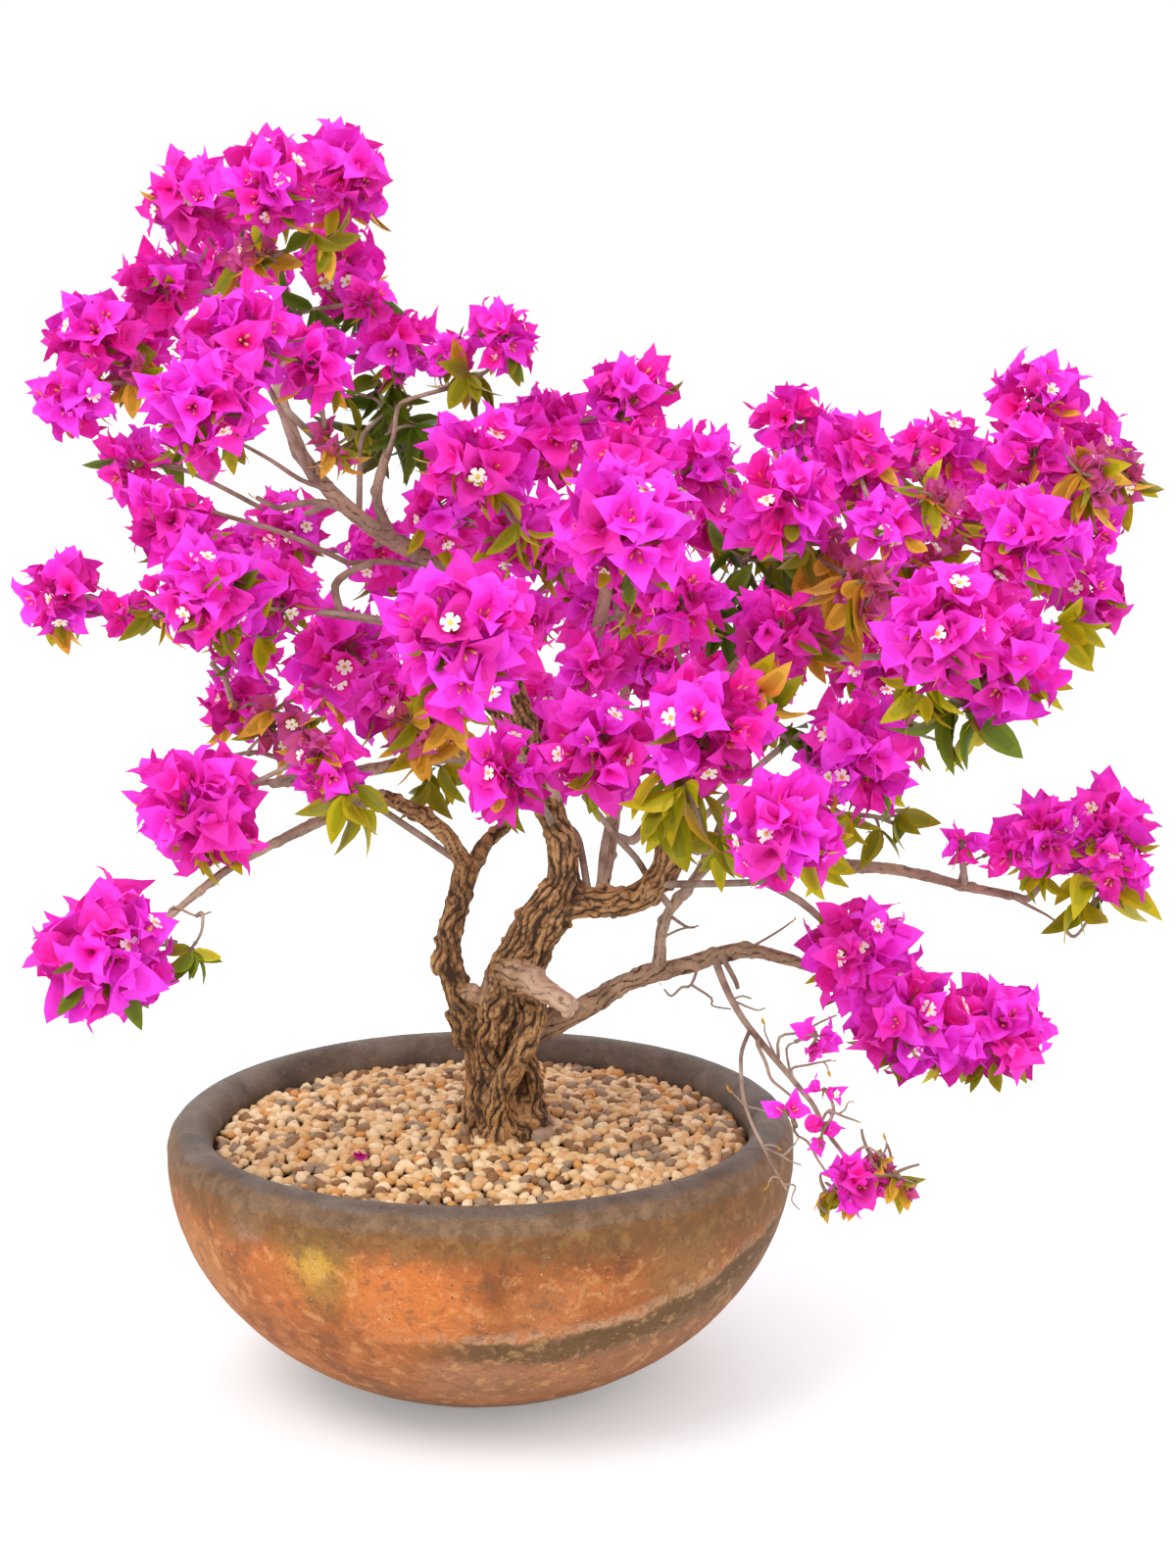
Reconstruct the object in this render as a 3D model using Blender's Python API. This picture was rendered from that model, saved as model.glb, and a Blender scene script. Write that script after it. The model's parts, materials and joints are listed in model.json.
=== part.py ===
"""A potted bougainvillea: a gnarled trunk and tapering boughs that carry masses of blossom,
standing in a round terracotta bowl that is filled with gravel.

Metres, +Z up. The origin is the centre of the bowl's flat underside. The plant's wide side faces -Y.
"""

import math
import random
from typing import NamedTuple

import bmesh
import bpy
from mathutils import Matrix, Vector
from mathutils.bvhtree import BVHTree
from mathutils.geometry import closest_point_on_tri, delaunay_2d_cdt
from mathutils.kdtree import KDTree

MM = 0.001  # the tables of limbs and masses are in millimetres
SEED = 4
JOINT_GAP = 0.0003  # between a limb and what grows from it

# The bowl is a deep ellipse in section, up to a rolled rim. Gravel fills it to just below the rim.
BOWL_RADIUS = 0.2585
BOWL_WIDEST_Z = 0.195
BOWL_SEMI_HEIGHT = 0.2065
BOWL_SIDES = 36
WALL = 0.020
RIM_MIDDLE = (0.240, 0.200)
RIM_HALF_WIDTH = 0.0185
RIM_HALF_HEIGHT = 0.022
RIM_SEGMENTS = 6
RIM_FROM, RIM_TO = math.radians(10), math.radians(170)
MOUTH_RADIUS = 0.2215
FLOOR_Z = 0.022
FLOOR_RADIUS = 0.100
OUTER_HEIGHTS = (0, 0.008, 0.022, 0.044, 0.072, 0.108, 0.148, 0.185)
INNER_HEIGHTS = (0.150, 0.085, 0.040)
GRAVEL_EDGE_Z = 0.201
GRAVEL_TOP_Z = 0.2064
GRAVEL_LEVEL_RADIUS = 0.068
GRAVEL_CLEARANCE = 0.0005
LEVEL_SIDES = 18
STONE_SPACING = 0.0172
STONE_STRAY = 0.22  # share of the spacing
STONE_RELIEF = (-0.0016, 0.0028)
STONE_MARGIN = 0.008

# Limbs run through points along their middle and taper evenly from one radius to the other.
SEGMENTS_PER_SPAN = 2
TRUNK_HEIGHT = 0.21
FLARE_SPREAD = 0.50  # how much wider the roots make the trunk's foot
FLARE_HEIGHT = 0.035
ROOTS = 5
ROOT_RIDGE = 0.16
TRUNK_RIDGE = 0.06
TRUNK_TWIST = 5.0  # radians that the trunk's three ridges turn on the way up

# Twigs: a mass's stem tapers from its bough, and stalks leave it and its branches.
STEM_RADII = (0.0044, 0.0034)
STALK_RADIUS = 0.0012
NECK_RADIUS = 0.0015
TWIG_SIDES = 3
FORK_SETBACK = 0.006  # how far before its parent's end a twig leaves it
ROOT_SPACING = 0.0045  # between the stalks that leave one twig
SHORTEST_STALK = 0.006
TWIG_TRIES = 60
FIRST_STRETCH = 0.012  # how far a stem runs straight out of its bough, at most
FIRST_STRETCH_SHARE = 0.25
TWIG_BOW = 0.12  # shares of a twig's length
TWIG_STRAY = 0.5

# Wood that is in the way, as points along its middle.
SAMPLE_STEP = 0.004
CLEAR_OF_WOOD = 0.0025
WIDEST_REACH = 0.05
NEIGHBOUR_REACH = 0.2

# A bloom is three pointed bracts round its stalk's neck, a little larger than life.
# Lengths are shares of the bract's own.
BRACT_RISE = math.radians(24)
NOTCH_REACH = 0.54
NOTCH_RISE = 0.10
BLOOM_DEPTH = 0.14
UPWARD_LEAN = 0.25
LEAF_HALF_WIDTH = 0.26
LEAF_THICKNESS = 0.10
LEAF_WIDEST = 0.42
LEAF_FOLD = 0.06
LEAF_DROOP = 0.05
PLACING_TRIES = 80
DIRECTION_STRAY = 0.15
LARGEST_SHARE = 1.25
SMALLEST_SHARE = 0.60

# How many pieces a cluster of a given radius has, and how large they are: a fixed part, and a part
# for each metre of its radius.
BLOOM_COUNT = (0.4, 110)
LEAF_COUNT = (2.5, 90)
BRACT_LENGTH = (0.012, 0.70)
LONGEST_BRACT = 0.046
LEAF_LENGTH = (0.012, 1.15)
THROAT_REACH = 1.10  # of the cluster's radius, less the share of its bract that a bloom leans out by
BRACT_OVERHANG = 0.84
NEAREST_THROAT = 0.008


class Limb(NamedTuple):
    """joins is "tip" where the limb carries on its parent's end, "side" where it leaves the flank,
    and "ground" where it stands on the gravel."""

    parent: str
    joins: str
    radii: tuple
    sides: int
    points: list


class Mass(NamedTuple):
    """share says where along its bough the mass's stem starts, and 1 is the tip.
    Each cluster of blossom or of leaves is (x, y, z, radius)."""

    bough: str
    share: float
    blossom: list = []
    leaves: list = []


LIMBS = {
    "trunk": Limb(None, "ground", (24.5, 18), 10,
                  [(22, 0, 207), (14, 0, 262), (17, -12, 305), (27, -17, 340), (44, -20, 374), (68, -20, 413)]),
    "left_stem": Limb("trunk", "side", (15.5, 10.5), 8,
                      [(13, 0, 250), (-9, -8, 299), (-20, -12, 333), (-26, -12, 362), (-19, -8, 396),
                       (-12, 0, 429)]),
    "left_arm": Limb("left_stem", "tip", (10, 6.5), 6,
                     [(-12, 0, 429), (-24, -2, 451), (-45, -14, 473), (-76, -35, 494)]),
    "left_inner_arm": Limb("left_stem", "side", (8.5, 4.5), 6,
                           [(-15, -4, 406), (2, 22, 440), (24, 60, 460), (20, 115, 507), (-5, 155, 560)]),
    "sawn_stub": Limb("trunk", "side", (12.5, 10.5), 8,
                      [(20, -15, 333), (44, -56, 345), (76, -92, 334)]),
    "main_stem": Limb("trunk", "tip", (15, 9), 8,
                      [(68, -20, 413), (67, -18, 450), (52, -5, 492), (33, 18, 555), (15, 30, 612)]),
    "upper_left_bough": Limb("main_stem", "tip", (8.8, 6), 6,
                             [(15, 30, 612), (-26, 20, 667), (-79, 0, 701), (-113, -10, 731),
                              (-139, -18, 764)]),
    "top_bough": Limb("upper_left_bough", "tip", (5.8, 3.2), 6,
                      [(-139, -18, 764), (-155, 0, 811), (-164, 20, 864), (-172, 30, 908)]),
    "high_bough": Limb("upper_left_bough", "side", (4.8, 3), 6,
                       [(-70, 3, 696), (-81, 20, 730), (-71, 40, 771), (-66, 50, 806)]),
    "left_limb": Limb("main_stem", "side", (5.5, 3), 6,
                      [(22, 25, 588), (-30, 2, 620), (-82, -28, 634), (-128, -62, 645)]),
    "left_low_limb": Limb("main_stem", "side", (7, 4), 6,
                          [(43, 3, 513), (-25, -16, 522), (-90, -50, 516), (-146, -88, 514)]),
    "long_left_limb": Limb("left_arm", "tip", (6, 3), 6,
                           [(-76, -35, 494), (-132, -78, 476), (-185, -130, 455), (-228, -172, 425)]),
    "right_fork": Limb("trunk", "side", (15, 10), 8,
                       [(62, -20, 403), (94, -26, 404), (126, -38, 410), (149, -45, 437), (165, -40, 503)]),
    "right_bough": Limb("right_fork", "tip", (9.8, 6.5), 6,
                        [(165, -40, 503), (190, -20, 567), (234, 0, 613), (275, 18, 630), (315, 28, 653)]),
    "right_far_bough": Limb("right_bough", "tip", (6.2, 3.5), 6,
                            [(315, 28, 653), (365, 22, 682), (408, 18, 720), (440, 15, 750)]),
    "centre_bough": Limb("main_stem", "side", (7.5, 4), 6,
                         [(57, -9, 478), (75, -4, 560), (100, -10, 640), (108, -16, 715)]),
    "back_bough": Limb("right_fork", "side", (7.5, 4.5), 6,
                       [(98, -28, 405), (108, 20, 450), (115, 80, 510), (122, 130, 580)]),
    "right_low_limb": Limb("right_fork", "side", (6.8, 3.5), 6,
                           [(155, -45, 460), (216, -10, 440), (290, 14, 427), (346, 8, 423), (395, -10, 414),
                            (432, -28, 410)]),
    "low_right_bough": Limb("trunk", "side", (10.5, 4), 6,
                            [(15, -3, 278), (68, 8, 297), (121, 0, 331), (168, -20, 350), (211, -40, 368),
                             (245, -60, 366), (272, -80, 362)]),
    "low_riser": Limb("low_right_bough", "side", (5.2, 3.6), 6,
                      [(146, -11, 342), (151, -6, 385), (178, -4, 422), (196, -8, 462), (205, -20, 498)]),
}

MASSES = {
    "top_middle_mass": Mass("top_bough", 1.0, [(-152, -50, 972, 42), (-200, 110, 910, 42)]),
    "top_left_mass": Mass("top_bough", 0.80, [(-254, 45, 899, 40), (-230, 20, 962, 42)]),
    "top_right_mass": Mass("top_bough", 0.72, [(-113, 70, 915, 40), (-103, 30, 982, 42)]),
    "far_left_mass": Mass("top_bough", 0.45,
                          [(-280, 55, 853, 36), (-299, -20, 866, 40), (-310, -55, 817, 34)]),
    "left_front_mass": Mass("top_bough", 0.25,
                            [(-118, -85, 838, 33), (-167, -140, 853, 44), (-188, -195, 812, 46)],
                            leaves=[(-140, -60, 780, 36)]),
    "back_left_mass": Mass("top_bough", 0.60, [(-222, 200, 858, 50)], leaves=[(-262, 160, 775, 36)]),
    "high_sprig_mass": Mass("high_bough", 1.0, [(-68, 45, 852, 34), (-21, 5, 840, 22), (22, -20, 856, 29)],
                            leaves=[(-76, 115, 783, 44)]),
    "left_small_mass": Mass("upper_left_bough", 0.72,
                            [(-157, 60, 702, 34), (-233, -60, 715, 38), (-278, 20, 758, 30)]),
    "left_back_mass": Mass("upper_left_bough", 0.45, [(-86, 90, 678, 34), (-205, 150, 665, 42)]),
    "left_low_mass": Mass("left_limb", 1.0,
                          [(-153, -60, 661, 36), (-194, -150, 672, 47), (-322, -60, 660, 35)],
                          leaves=[(-255, -105, 645, 22)]),
    "inner_left_mass": Mass("left_limb", 0.45,
                            [(-72, -25, 575, 34), (-117, 50, 597, 46), (-192, -20, 568, 32),
                               (-40, 45, 628, 34)]),
    "left_lower_mass": Mass("left_low_limb", 1.0, [(-209, -140, 506, 53), (-105, -120, 528, 36)],
                            leaves=[(-95, -130, 492, 26)]),
    "lone_left_mass": Mass("long_left_limb", 1.0, [(-274, -198, 407, 56)]),
    "centre_front_mass": Mass("main_stem", 0.86, [(-1, -270, 651, 56)], leaves=[(10, -130, 640, 34)]),
    "middle_left_mass": Mass("upper_left_bough", 0.12,
                             [(-27, -20, 722, 33), (3, -95, 763, 43), (52, 10, 700, 40)]),
    "middle_high_mass": Mass("centre_bough", 1.0, [(58, 45, 779, 41), (117, 20, 808, 40)]),
    "middle_front_mass": Mass("centre_bough", 0.80,
                              [(176, 0, 758, 34), (121, -120, 764, 38), (116, -225, 724, 51)]),
    "centre_mass": Mass("centre_bough", 0.50, [(88, -50, 620, 36), (159, -120, 661, 38)]),
    "centre_low_mass": Mass("main_stem", 0.36, [(27, -185, 540, 36), (97, -180, 560, 46)]),
    "back_left_low_mass": Mass("left_inner_arm", 1.0, [(-23, 205, 660, 50), (-130, 215, 560, 48)]),
    "back_middle_mass": Mass("back_bough", 1.0,
                             [(106, 225, 631, 50), (122, 180, 750, 46), (196, 280, 697, 46)]),
    "back_low_mass": Mass("back_bough", 0.55, [(54, 220, 520, 44), (225, 240, 545, 50)]),
    "right_front_mass": Mass("right_fork", 0.82, [(175, -220, 583, 50)], leaves=[(159, -225, 515, 46)]),
    "right_low_front_mass": Mass("right_fork", 0.64, [(225, -285, 519, 44)], leaves=[(262, -200, 480, 24)]),
    "right_low_mass": Mass("low_riser", 1.0, [(294, -120, 545, 48)]),
    "right_inner_mass": Mass("right_bough", 0.55, [(232, -95, 636, 37)],
                             leaves=[(300, -45, 660, 42), (245, 70, 680, 42)]),
    "right_high_left_mass": Mass("right_bough", 0.72, [(235, -115, 733, 42), (256, 75, 787, 34)]),
    "right_high_mass": Mass("right_bough", 0.95,
                            [(315, -100, 713, 34), (300, 10, 757, 41), (374, 40, 767, 37)]),
    "right_top_mass": Mass("right_far_bough", 1.0,
                           [(432, -40, 763, 36), (448, 15, 811, 42), (500, 50, 768, 42)]),
    "right_middle_mass": Mass("right_far_bough", 0.60,
                              [(419, -100, 706, 43), (484, -20, 660, 39), (470, 30, 712, 32)]),
    "right_big_mass": Mass("right_far_bough", 0.20, [(399, -155, 618, 44), (345, -215, 652, 48)],
                           leaves=[(370, -140, 565, 42)]),
    "back_right_high_mass": Mass("right_bough", 0.88, [(312, 205, 743, 50), (455, 195, 725, 50)]),
    "back_right_mass": Mass("right_bough", 0.40, [(341, 265, 580, 50), (430, 170, 610, 50)]),
    "lone_right_mass": Mass("right_low_limb", 1.0, [(474, -50, 463, 56)], leaves=[(484, -65, 405, 26)]),
    "right_sprig_mass": Mass("right_low_limb", 0.80, [(383, -55, 461, 21)]),
    "low_right_mass": Mass("low_right_bough", 1.0,
                           [(305, -105, 388, 50), (350, -120, 343, 48), (412, -105, 317, 48)]),
    "drooping_sprig_mass": Mass("low_right_bough", 0.70, [(235, -175, 335, 12), (257, -200, 345, 15),
                                                          (245, -235, 297, 14), (287, -258, 252, 26)]),
}


def smooth_curve(points, per_span):
    """Points along a Catmull-Rom curve through the given ones."""
    ends = [2 * points[0] - points[1]], [2 * points[-1] - points[-2]]
    p = ends[0] + points + ends[1]
    curve = []
    for a, b, c, d in zip(p, p[1:], p[2:], p[3:]):
        for k in range(per_span):
            t = k / per_span
            cubic = (3 * b - a - 3 * c + d) * t ** 3
            curve.append(0.5 * (2 * b + (c - a) * t + (2 * a - 5 * b + 4 * c - d) * t * t + cubic))
    return curve + [p[-2]]


def frames_along(path):
    """Two axes square to the path at each of its points, turning as little as possible."""
    steps = [(b - a).normalized() for a, b in zip(path, path[1:])]
    directions = [steps[0]] + [(a + b).normalized() for a, b in zip(steps, steps[1:])] + [steps[-1]]
    side = directions[0].orthogonal().normalized()
    frames = []
    for direction in directions:
        side = (side - side.dot(direction) * direction).normalized()
        frames.append((side, direction.cross(side)))
    return frames


def tube(path, radii, sides, section=None):
    """(points, faces) of a capped tube. section(share, angle) scales its radius."""
    points, faces = [], []
    for i, (centre, (u, v)) in enumerate(zip(path, frames_along(path))):
        share = i / (len(path) - 1)
        for k in range(sides):
            angle = 2 * math.pi * k / sides
            radius = radii[i] * (section(share, angle) if section else 1)
            points.append(centre + radius * (math.cos(angle) * u + math.sin(angle) * v))
    for i in range(len(path) - 1):
        for k in range(sides):
            a, b = i * sides + k, i * sides + (k + 1) % sides
            faces += [(a, b, b + sides), (a, b + sides, a + sides)]
    first_ring = range(sides)
    faces.append(tuple(reversed(first_ring)))
    faces.append(tuple(len(points) - sides + k for k in first_ring))
    return points, faces


def point_back_along(path, distance):
    """The point this far back from the end of a path."""
    for b, a in zip(path[::-1], path[-2::-1]):
        length = (b - a).length
        if distance <= length:
            return b.lerp(a, distance / length)
        distance -= length
    return path[0]


def mesh_object(name, points, faces, collection=None):
    mesh = bpy.data.meshes.new(name)
    mesh.from_pydata([tuple(p) for p in points], [], faces)
    bm = bmesh.new()
    bm.from_mesh(mesh)
    bmesh.ops.recalc_face_normals(bm, faces=bm.faces)
    bm.to_mesh(mesh)
    bm.free()
    obj = bpy.data.objects.new(name, mesh)
    (collection or bpy.context.scene.collection).objects.link(obj)
    return obj


def shade(obj, material, sharp_angle):
    obj.data.materials.clear()
    obj.data.materials.append(material)
    obj.data.shade_smooth()
    obj.data.set_sharp_from_angle(angle=math.radians(sharp_angle))


def principled(name, colour, roughness):
    material = bpy.data.materials.new(name)
    material.use_nodes = True
    shader = material.node_tree.nodes["Principled BSDF"]
    shader.inputs["Base Color"].default_value = (*colour, 1)
    shader.inputs["Roughness"].default_value = roughness
    shader.inputs["Metallic"].default_value = 0
    return material


# The bowl and what fills it


def bowl_radius(z, inset=0.0):
    """Radius of the bowl's outer wall at height z, or of its inner wall where inset is the thickness."""
    drop = (BOWL_WIDEST_Z - z) / (BOWL_SEMI_HEIGHT - inset)
    return (BOWL_RADIUS - inset) * math.sqrt(1 - drop * drop)


def rolled_rim():
    """Round the rim, from the outside into the mouth."""
    angles = [RIM_FROM + (RIM_TO - RIM_FROM) * k / RIM_SEGMENTS for k in range(RIM_SEGMENTS + 1)]
    return [(RIM_MIDDLE[0] + RIM_HALF_WIDTH * math.cos(a), RIM_MIDDLE[1] + RIM_HALF_HEIGHT * math.sin(a))
            for a in angles]


def inner_wall(clearance=0.0):
    """The bowl's inner wall from below the rim to its floor, or a skin that stays clear of it."""
    profile = [(min(bowl_radius(z, WALL), MOUTH_RADIUS) - clearance, z) for z in INNER_HEIGHTS]
    corner_clearance = 5 * clearance  # the wall slopes there
    return profile + [(FLOOR_RADIUS - corner_clearance, FLOOR_Z + clearance), (0, FLOOR_Z + clearance)]


def turned(name, profile, material):
    """A solid of revolution, from a profile that starts and ends on the Z axis."""
    bm = bmesh.new()
    verts = [bm.verts.new((r, 0, z)) for r, z in profile]
    edges = [bm.edges.new(pair) for pair in zip(verts, verts[1:])]
    bmesh.ops.spin(bm, geom=verts + edges, cent=(0, 0, 0), axis=(0, 0, 1),
                   angle=2 * math.pi, steps=BOWL_SIDES, use_merge=True)
    bmesh.ops.remove_doubles(bm, verts=bm.verts, dist=1e-5)
    bmesh.ops.recalc_face_normals(bm, faces=bm.faces)
    mesh = bpy.data.meshes.new(name)
    bm.to_mesh(mesh)
    bm.free()
    obj = bpy.data.objects.new(name, mesh)
    bpy.context.scene.collection.objects.link(obj)
    shade(obj, material, sharp_angle=35)
    return obj


def build_pot(material):
    outer_wall = [(0, 0)] + [(bowl_radius(z), z) for z in OUTER_HEIGHTS]
    turned("pot", outer_wall + rolled_rim() + inner_wall(), material)


def gravel_height(r):
    """Level round the trunk and a little lower at the bowl's wall."""
    fall = max(r - GRAVEL_LEVEL_RADIUS, 0) / (MOUTH_RADIUS - GRAVEL_CLEARANCE - GRAVEL_LEVEL_RADIUS)
    return GRAVEL_TOP_Z + (GRAVEL_EDGE_Z - GRAVEL_TOP_Z) * fall


def stones_of_the_top():
    """Points at the tops of the larger stones and the hollows between them, as (x, y, z)."""
    rng = random.Random(SEED)
    row_gap = STONE_SPACING * math.sqrt(3) / 2
    rows = int(MOUTH_RADIUS / row_gap)
    for row in range(-rows, rows + 1):
        for column in range(-rows - 2, rows + 3):
            x = (column + 0.5 * (row % 2) + rng.uniform(-STONE_STRAY, STONE_STRAY)) * STONE_SPACING
            y = row * row_gap + rng.uniform(-STONE_STRAY, STONE_STRAY) * STONE_SPACING
            height = rng.uniform(*STONE_RELIEF)
            r = math.hypot(x, y)
            if GRAVEL_LEVEL_RADIUS + STONE_MARGIN < r < MOUTH_RADIUS - STONE_MARGIN:
                yield x, y, gravel_height(r) + height


def build_gravel(material):
    """Gravel and the compost under it, with the larger stones in relief on top, but not under the trunk."""
    edge_radius = MOUTH_RADIUS - GRAVEL_CLEARANCE
    obj = turned("gravel", [(0, GRAVEL_EDGE_Z), (edge_radius, GRAVEL_EDGE_Z)] + inner_wall(GRAVEL_CLEARANCE),
                 material)
    bm = bmesh.new()
    bm.from_mesh(obj.data)
    lid = [face for face in bm.faces if min(v.co.z for v in face.verts) > GRAVEL_EDGE_Z - 1e-6]
    bmesh.ops.delete(bm, geom=lid, context="FACES")
    bmesh.ops.delete(bm, geom=[v for v in bm.verts if not v.link_faces], context="VERTS")
    rim = [v.co.copy() for v in bm.verts if v.co.z > GRAVEL_EDGE_Z - 1e-6]
    level = []
    for k in range(LEVEL_SIDES):
        angle = 2 * math.pi * k / LEVEL_SIDES
        level.append(Vector((math.cos(angle), math.sin(angle), 0)) * GRAVEL_LEVEL_RADIUS
                     + Vector((0, 0, GRAVEL_TOP_Z)))
    points = rim + level + [Vector(p) for p in stones_of_the_top()]
    _, _, triangles, origins, _, _ = delaunay_2d_cdt([p.to_2d() for p in points], [], [], 0, 1e-6)
    verts = [bm.verts.new(points[origin[0]]) for origin in origins]
    for triangle in triangles:
        bm.faces.new([verts[i] for i in triangle])
    bmesh.ops.remove_doubles(bm, verts=bm.verts, dist=1e-5)
    bmesh.ops.recalc_face_normals(bm, faces=bm.faces)
    bm.to_mesh(obj.data)
    bm.free()
    shade(obj, material, sharp_angle=20)


# Trunk, stems and boughs


def limb_path(name):
    return smooth_curve([Vector(p) * MM for p in LIMBS[name].points], SEGMENTS_PER_SPAN)


def limb_radii(name, count, extra=0.0):
    base, tip = LIMBS[name].radii
    return [(base + (tip - base) * i / (count - 1)) * MM + extra for i in range(count)]


def trunk_section(share, angle):
    """Three ridges twist up the trunk, and its foot spreads into roots."""
    near_ground = math.exp(-share * TRUNK_HEIGHT / FLARE_HEIGHT)
    roots = FLARE_SPREAD + ROOT_RIDGE * math.cos(ROOTS * angle)
    return 1 + near_ground * roots + TRUNK_RIDGE * math.cos(3 * angle + TRUNK_TWIST * share)


def limb_tube(name, extra=0.0):
    """A limb's tube, or the same tube made fatter and longer by extra, to cut its neighbours with."""
    limb = LIMBS[name]
    path = limb_path(name)
    radii = limb_radii(name, len(path), extra)
    if extra:
        path[0] = path[0] - (path[1] - path[0]).normalized() * extra
        path[-1] = path[-1] + (path[-1] - path[-2]).normalized() * extra
    points, faces = tube(path, radii, limb.sides, trunk_section if name == "trunk" else None)
    foot = points[:limb.sides]
    if limb.joins == "ground":
        for point in foot:
            point.z = GRAVEL_TOP_Z + JOINT_GAP - extra
    if limb.joins == "tip":
        parent = limb_path(limb.parent)
        normal = (parent[-1] - parent[-2]).normalized()
        seam = parent[-1] + normal * (JOINT_GAP - extra)
        for point in foot:
            point -= (point - seam).dot(normal) * normal
    return points, faces


def neighbours_at_fork(name):
    """What a limb that leaves a flank is cut clear of: its parent, what carries the parent on,
    and the limbs that left the same parent before it."""
    parent = LIMBS[name].parent
    before = list(LIMBS)[:list(LIMBS).index(name)]
    siblings = [k for k, other in LIMBS.items() if other.parent == parent]
    return [parent] + [k for k in siblings if LIMBS[k].joins == "tip" or k in before]


def build_limbs(material):
    for name in LIMBS:
        shade(mesh_object(name, *limb_tube(name)), material, sharp_angle=60)
    cutters = {}
    for name, limb in LIMBS.items():
        if limb.joins != "side":
            continue
        for other in neighbours_at_fork(name):
            if other not in cutters:
                cutters[other] = mesh_object("cutter_" + other, *limb_tube(other, JOINT_GAP))
                cutters[other].hide_render = True
                cutters[other].display_type = "WIRE"
            cut = bpy.data.objects[name].modifiers.new("clear_of_" + other, "BOOLEAN")
            cut.operation = "DIFFERENCE"
            cut.object = cutters[other]
            cut.solver = "MANIFOLD"


# Room for the twigs, the blooms and the leaves


class Wood:
    """Where the limbs and twigs run, to keep everything else clear of them."""

    def __init__(self):
        self.samples = []
        self.tree = None

    def add(self, path, radii, owner):
        for a, b, radius_a, radius_b in zip(path, path[1:], radii, radii[1:]):
            count = max(1, int((b - a).length / SAMPLE_STEP))
            for k in range(count + 1):
                t = k / count
                self.samples.append((a.lerp(b, t), radius_a + (radius_b - radius_a) * t, owner))
        self.tree = KDTree(len(self.samples))
        for i, (point, _, _) in enumerate(self.samples):
            self.tree.insert(point, i)
        self.tree.balance()

    def near(self, point, reach, owner):
        """The wood of others within reach, as (point, radius, distance)."""
        for _, i, distance in self.tree.find_range(point, reach):
            sample, radius, whose = self.samples[i]
            if whose != owner:
                yield sample, radius, distance

    def path_is_clear(self, path, radius, owner, skip_start):
        """Whether a twig runs clear of all other wood once it is past its first stretch."""
        for a, b in zip(path, path[1:]):
            count = max(1, int((b - a).length / SAMPLE_STEP))
            for point in [a.lerp(b, k / count) for k in range(count + 1)]:
                if (point - path[0]).length < skip_start:
                    continue
                for _, other_radius, distance in self.near(point, WIDEST_REACH, owner):
                    if distance < radius + other_radius + CLEAR_OF_WOOD:
                        return False
        return True

    def triangle_is_clear(self, corners, owner):
        centre = sum(corners, Vector()) / 3
        reach = max((c - centre).length for c in corners) + WIDEST_REACH
        for point, radius, _ in self.near(centre, reach, owner):
            if (closest_point_on_tri(point, *corners) - point).length < radius + CLEAR_OF_WOOD:
                return False
        return True


class Cluster(NamedTuple):
    centre: Vector
    radius: float
    leafy: bool


def clusters_of(name):
    mass = MASSES[name]
    groups = [(mass.blossom, False), (mass.leaves, True)]
    return [Cluster(Vector(c[:3]) * MM, c[3] * MM, leafy) for group, leafy in groups for c in group]


def inside_space(points, name, cluster):
    """Whether points lie in the space of this cluster, against the clusters of every other mass."""
    for other in MASSES:
        if other == name:
            continue
        for rival in clusters_of(other):
            to_rival = rival.centre - cluster.centre
            distance = to_rival.length
            if distance > NEIGHBOUR_REACH:
                continue
            limit = distance * cluster.radius / (cluster.radius + rival.radius) - JOINT_GAP
            if any((p - cluster.centre).dot(to_rival) / distance > limit for p in points):
                return False
    return True


# Twigs, blooms and leaves


def stem_start(bough, share, towards):
    """Where a mass's stem starts, just clear of its bough's bark, and which way it heads."""
    path = limb_path(bough)
    if share == 1:
        heading = (path[-1] - path[-2]).normalized()
        return path[-1] + heading * JOINT_GAP, heading
    at = share * (len(path) - 1)
    i = int(at)
    point = path[i].lerp(path[i + 1], at - i)
    along = (path[i + 1] - path[i]).normalized()
    out = towards - point
    out = (out - out.dot(along) * along).normalized()
    sides = LIMBS[bough].sides
    corners, _ = limb_tube(bough)
    ring = [corners[i * sides + k].lerp(corners[(i + 1) * sides + k], at - i) for k in range(sides)]
    bark = max((corner - point).dot(out) for corner in ring)
    return point + out * (bark + JOINT_GAP), out


def random_vector(rng):
    return Vector([rng.uniform(-1, 1) for _ in range(3)])


def clear_twig(wood, start, heading, end, radius, owner, rng, skip_start):
    """The straightest bend from start to end that touches no other wood."""
    length = (end - start).length
    first = start + heading * min(FIRST_STRETCH, FIRST_STRETCH_SHARE * length)
    for attempt in range(TWIG_TRIES):
        stray = random_vector(rng) * TWIG_STRAY * length * attempt / TWIG_TRIES
        middle = first.lerp(end, 0.5) + heading * TWIG_BOW * length + stray
        path = [start, first, middle, end]
        if wood.path_is_clear(path, radius, owner, skip_start):
            return path
    raise RuntimeError("no clear way for a twig of " + owner)


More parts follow.
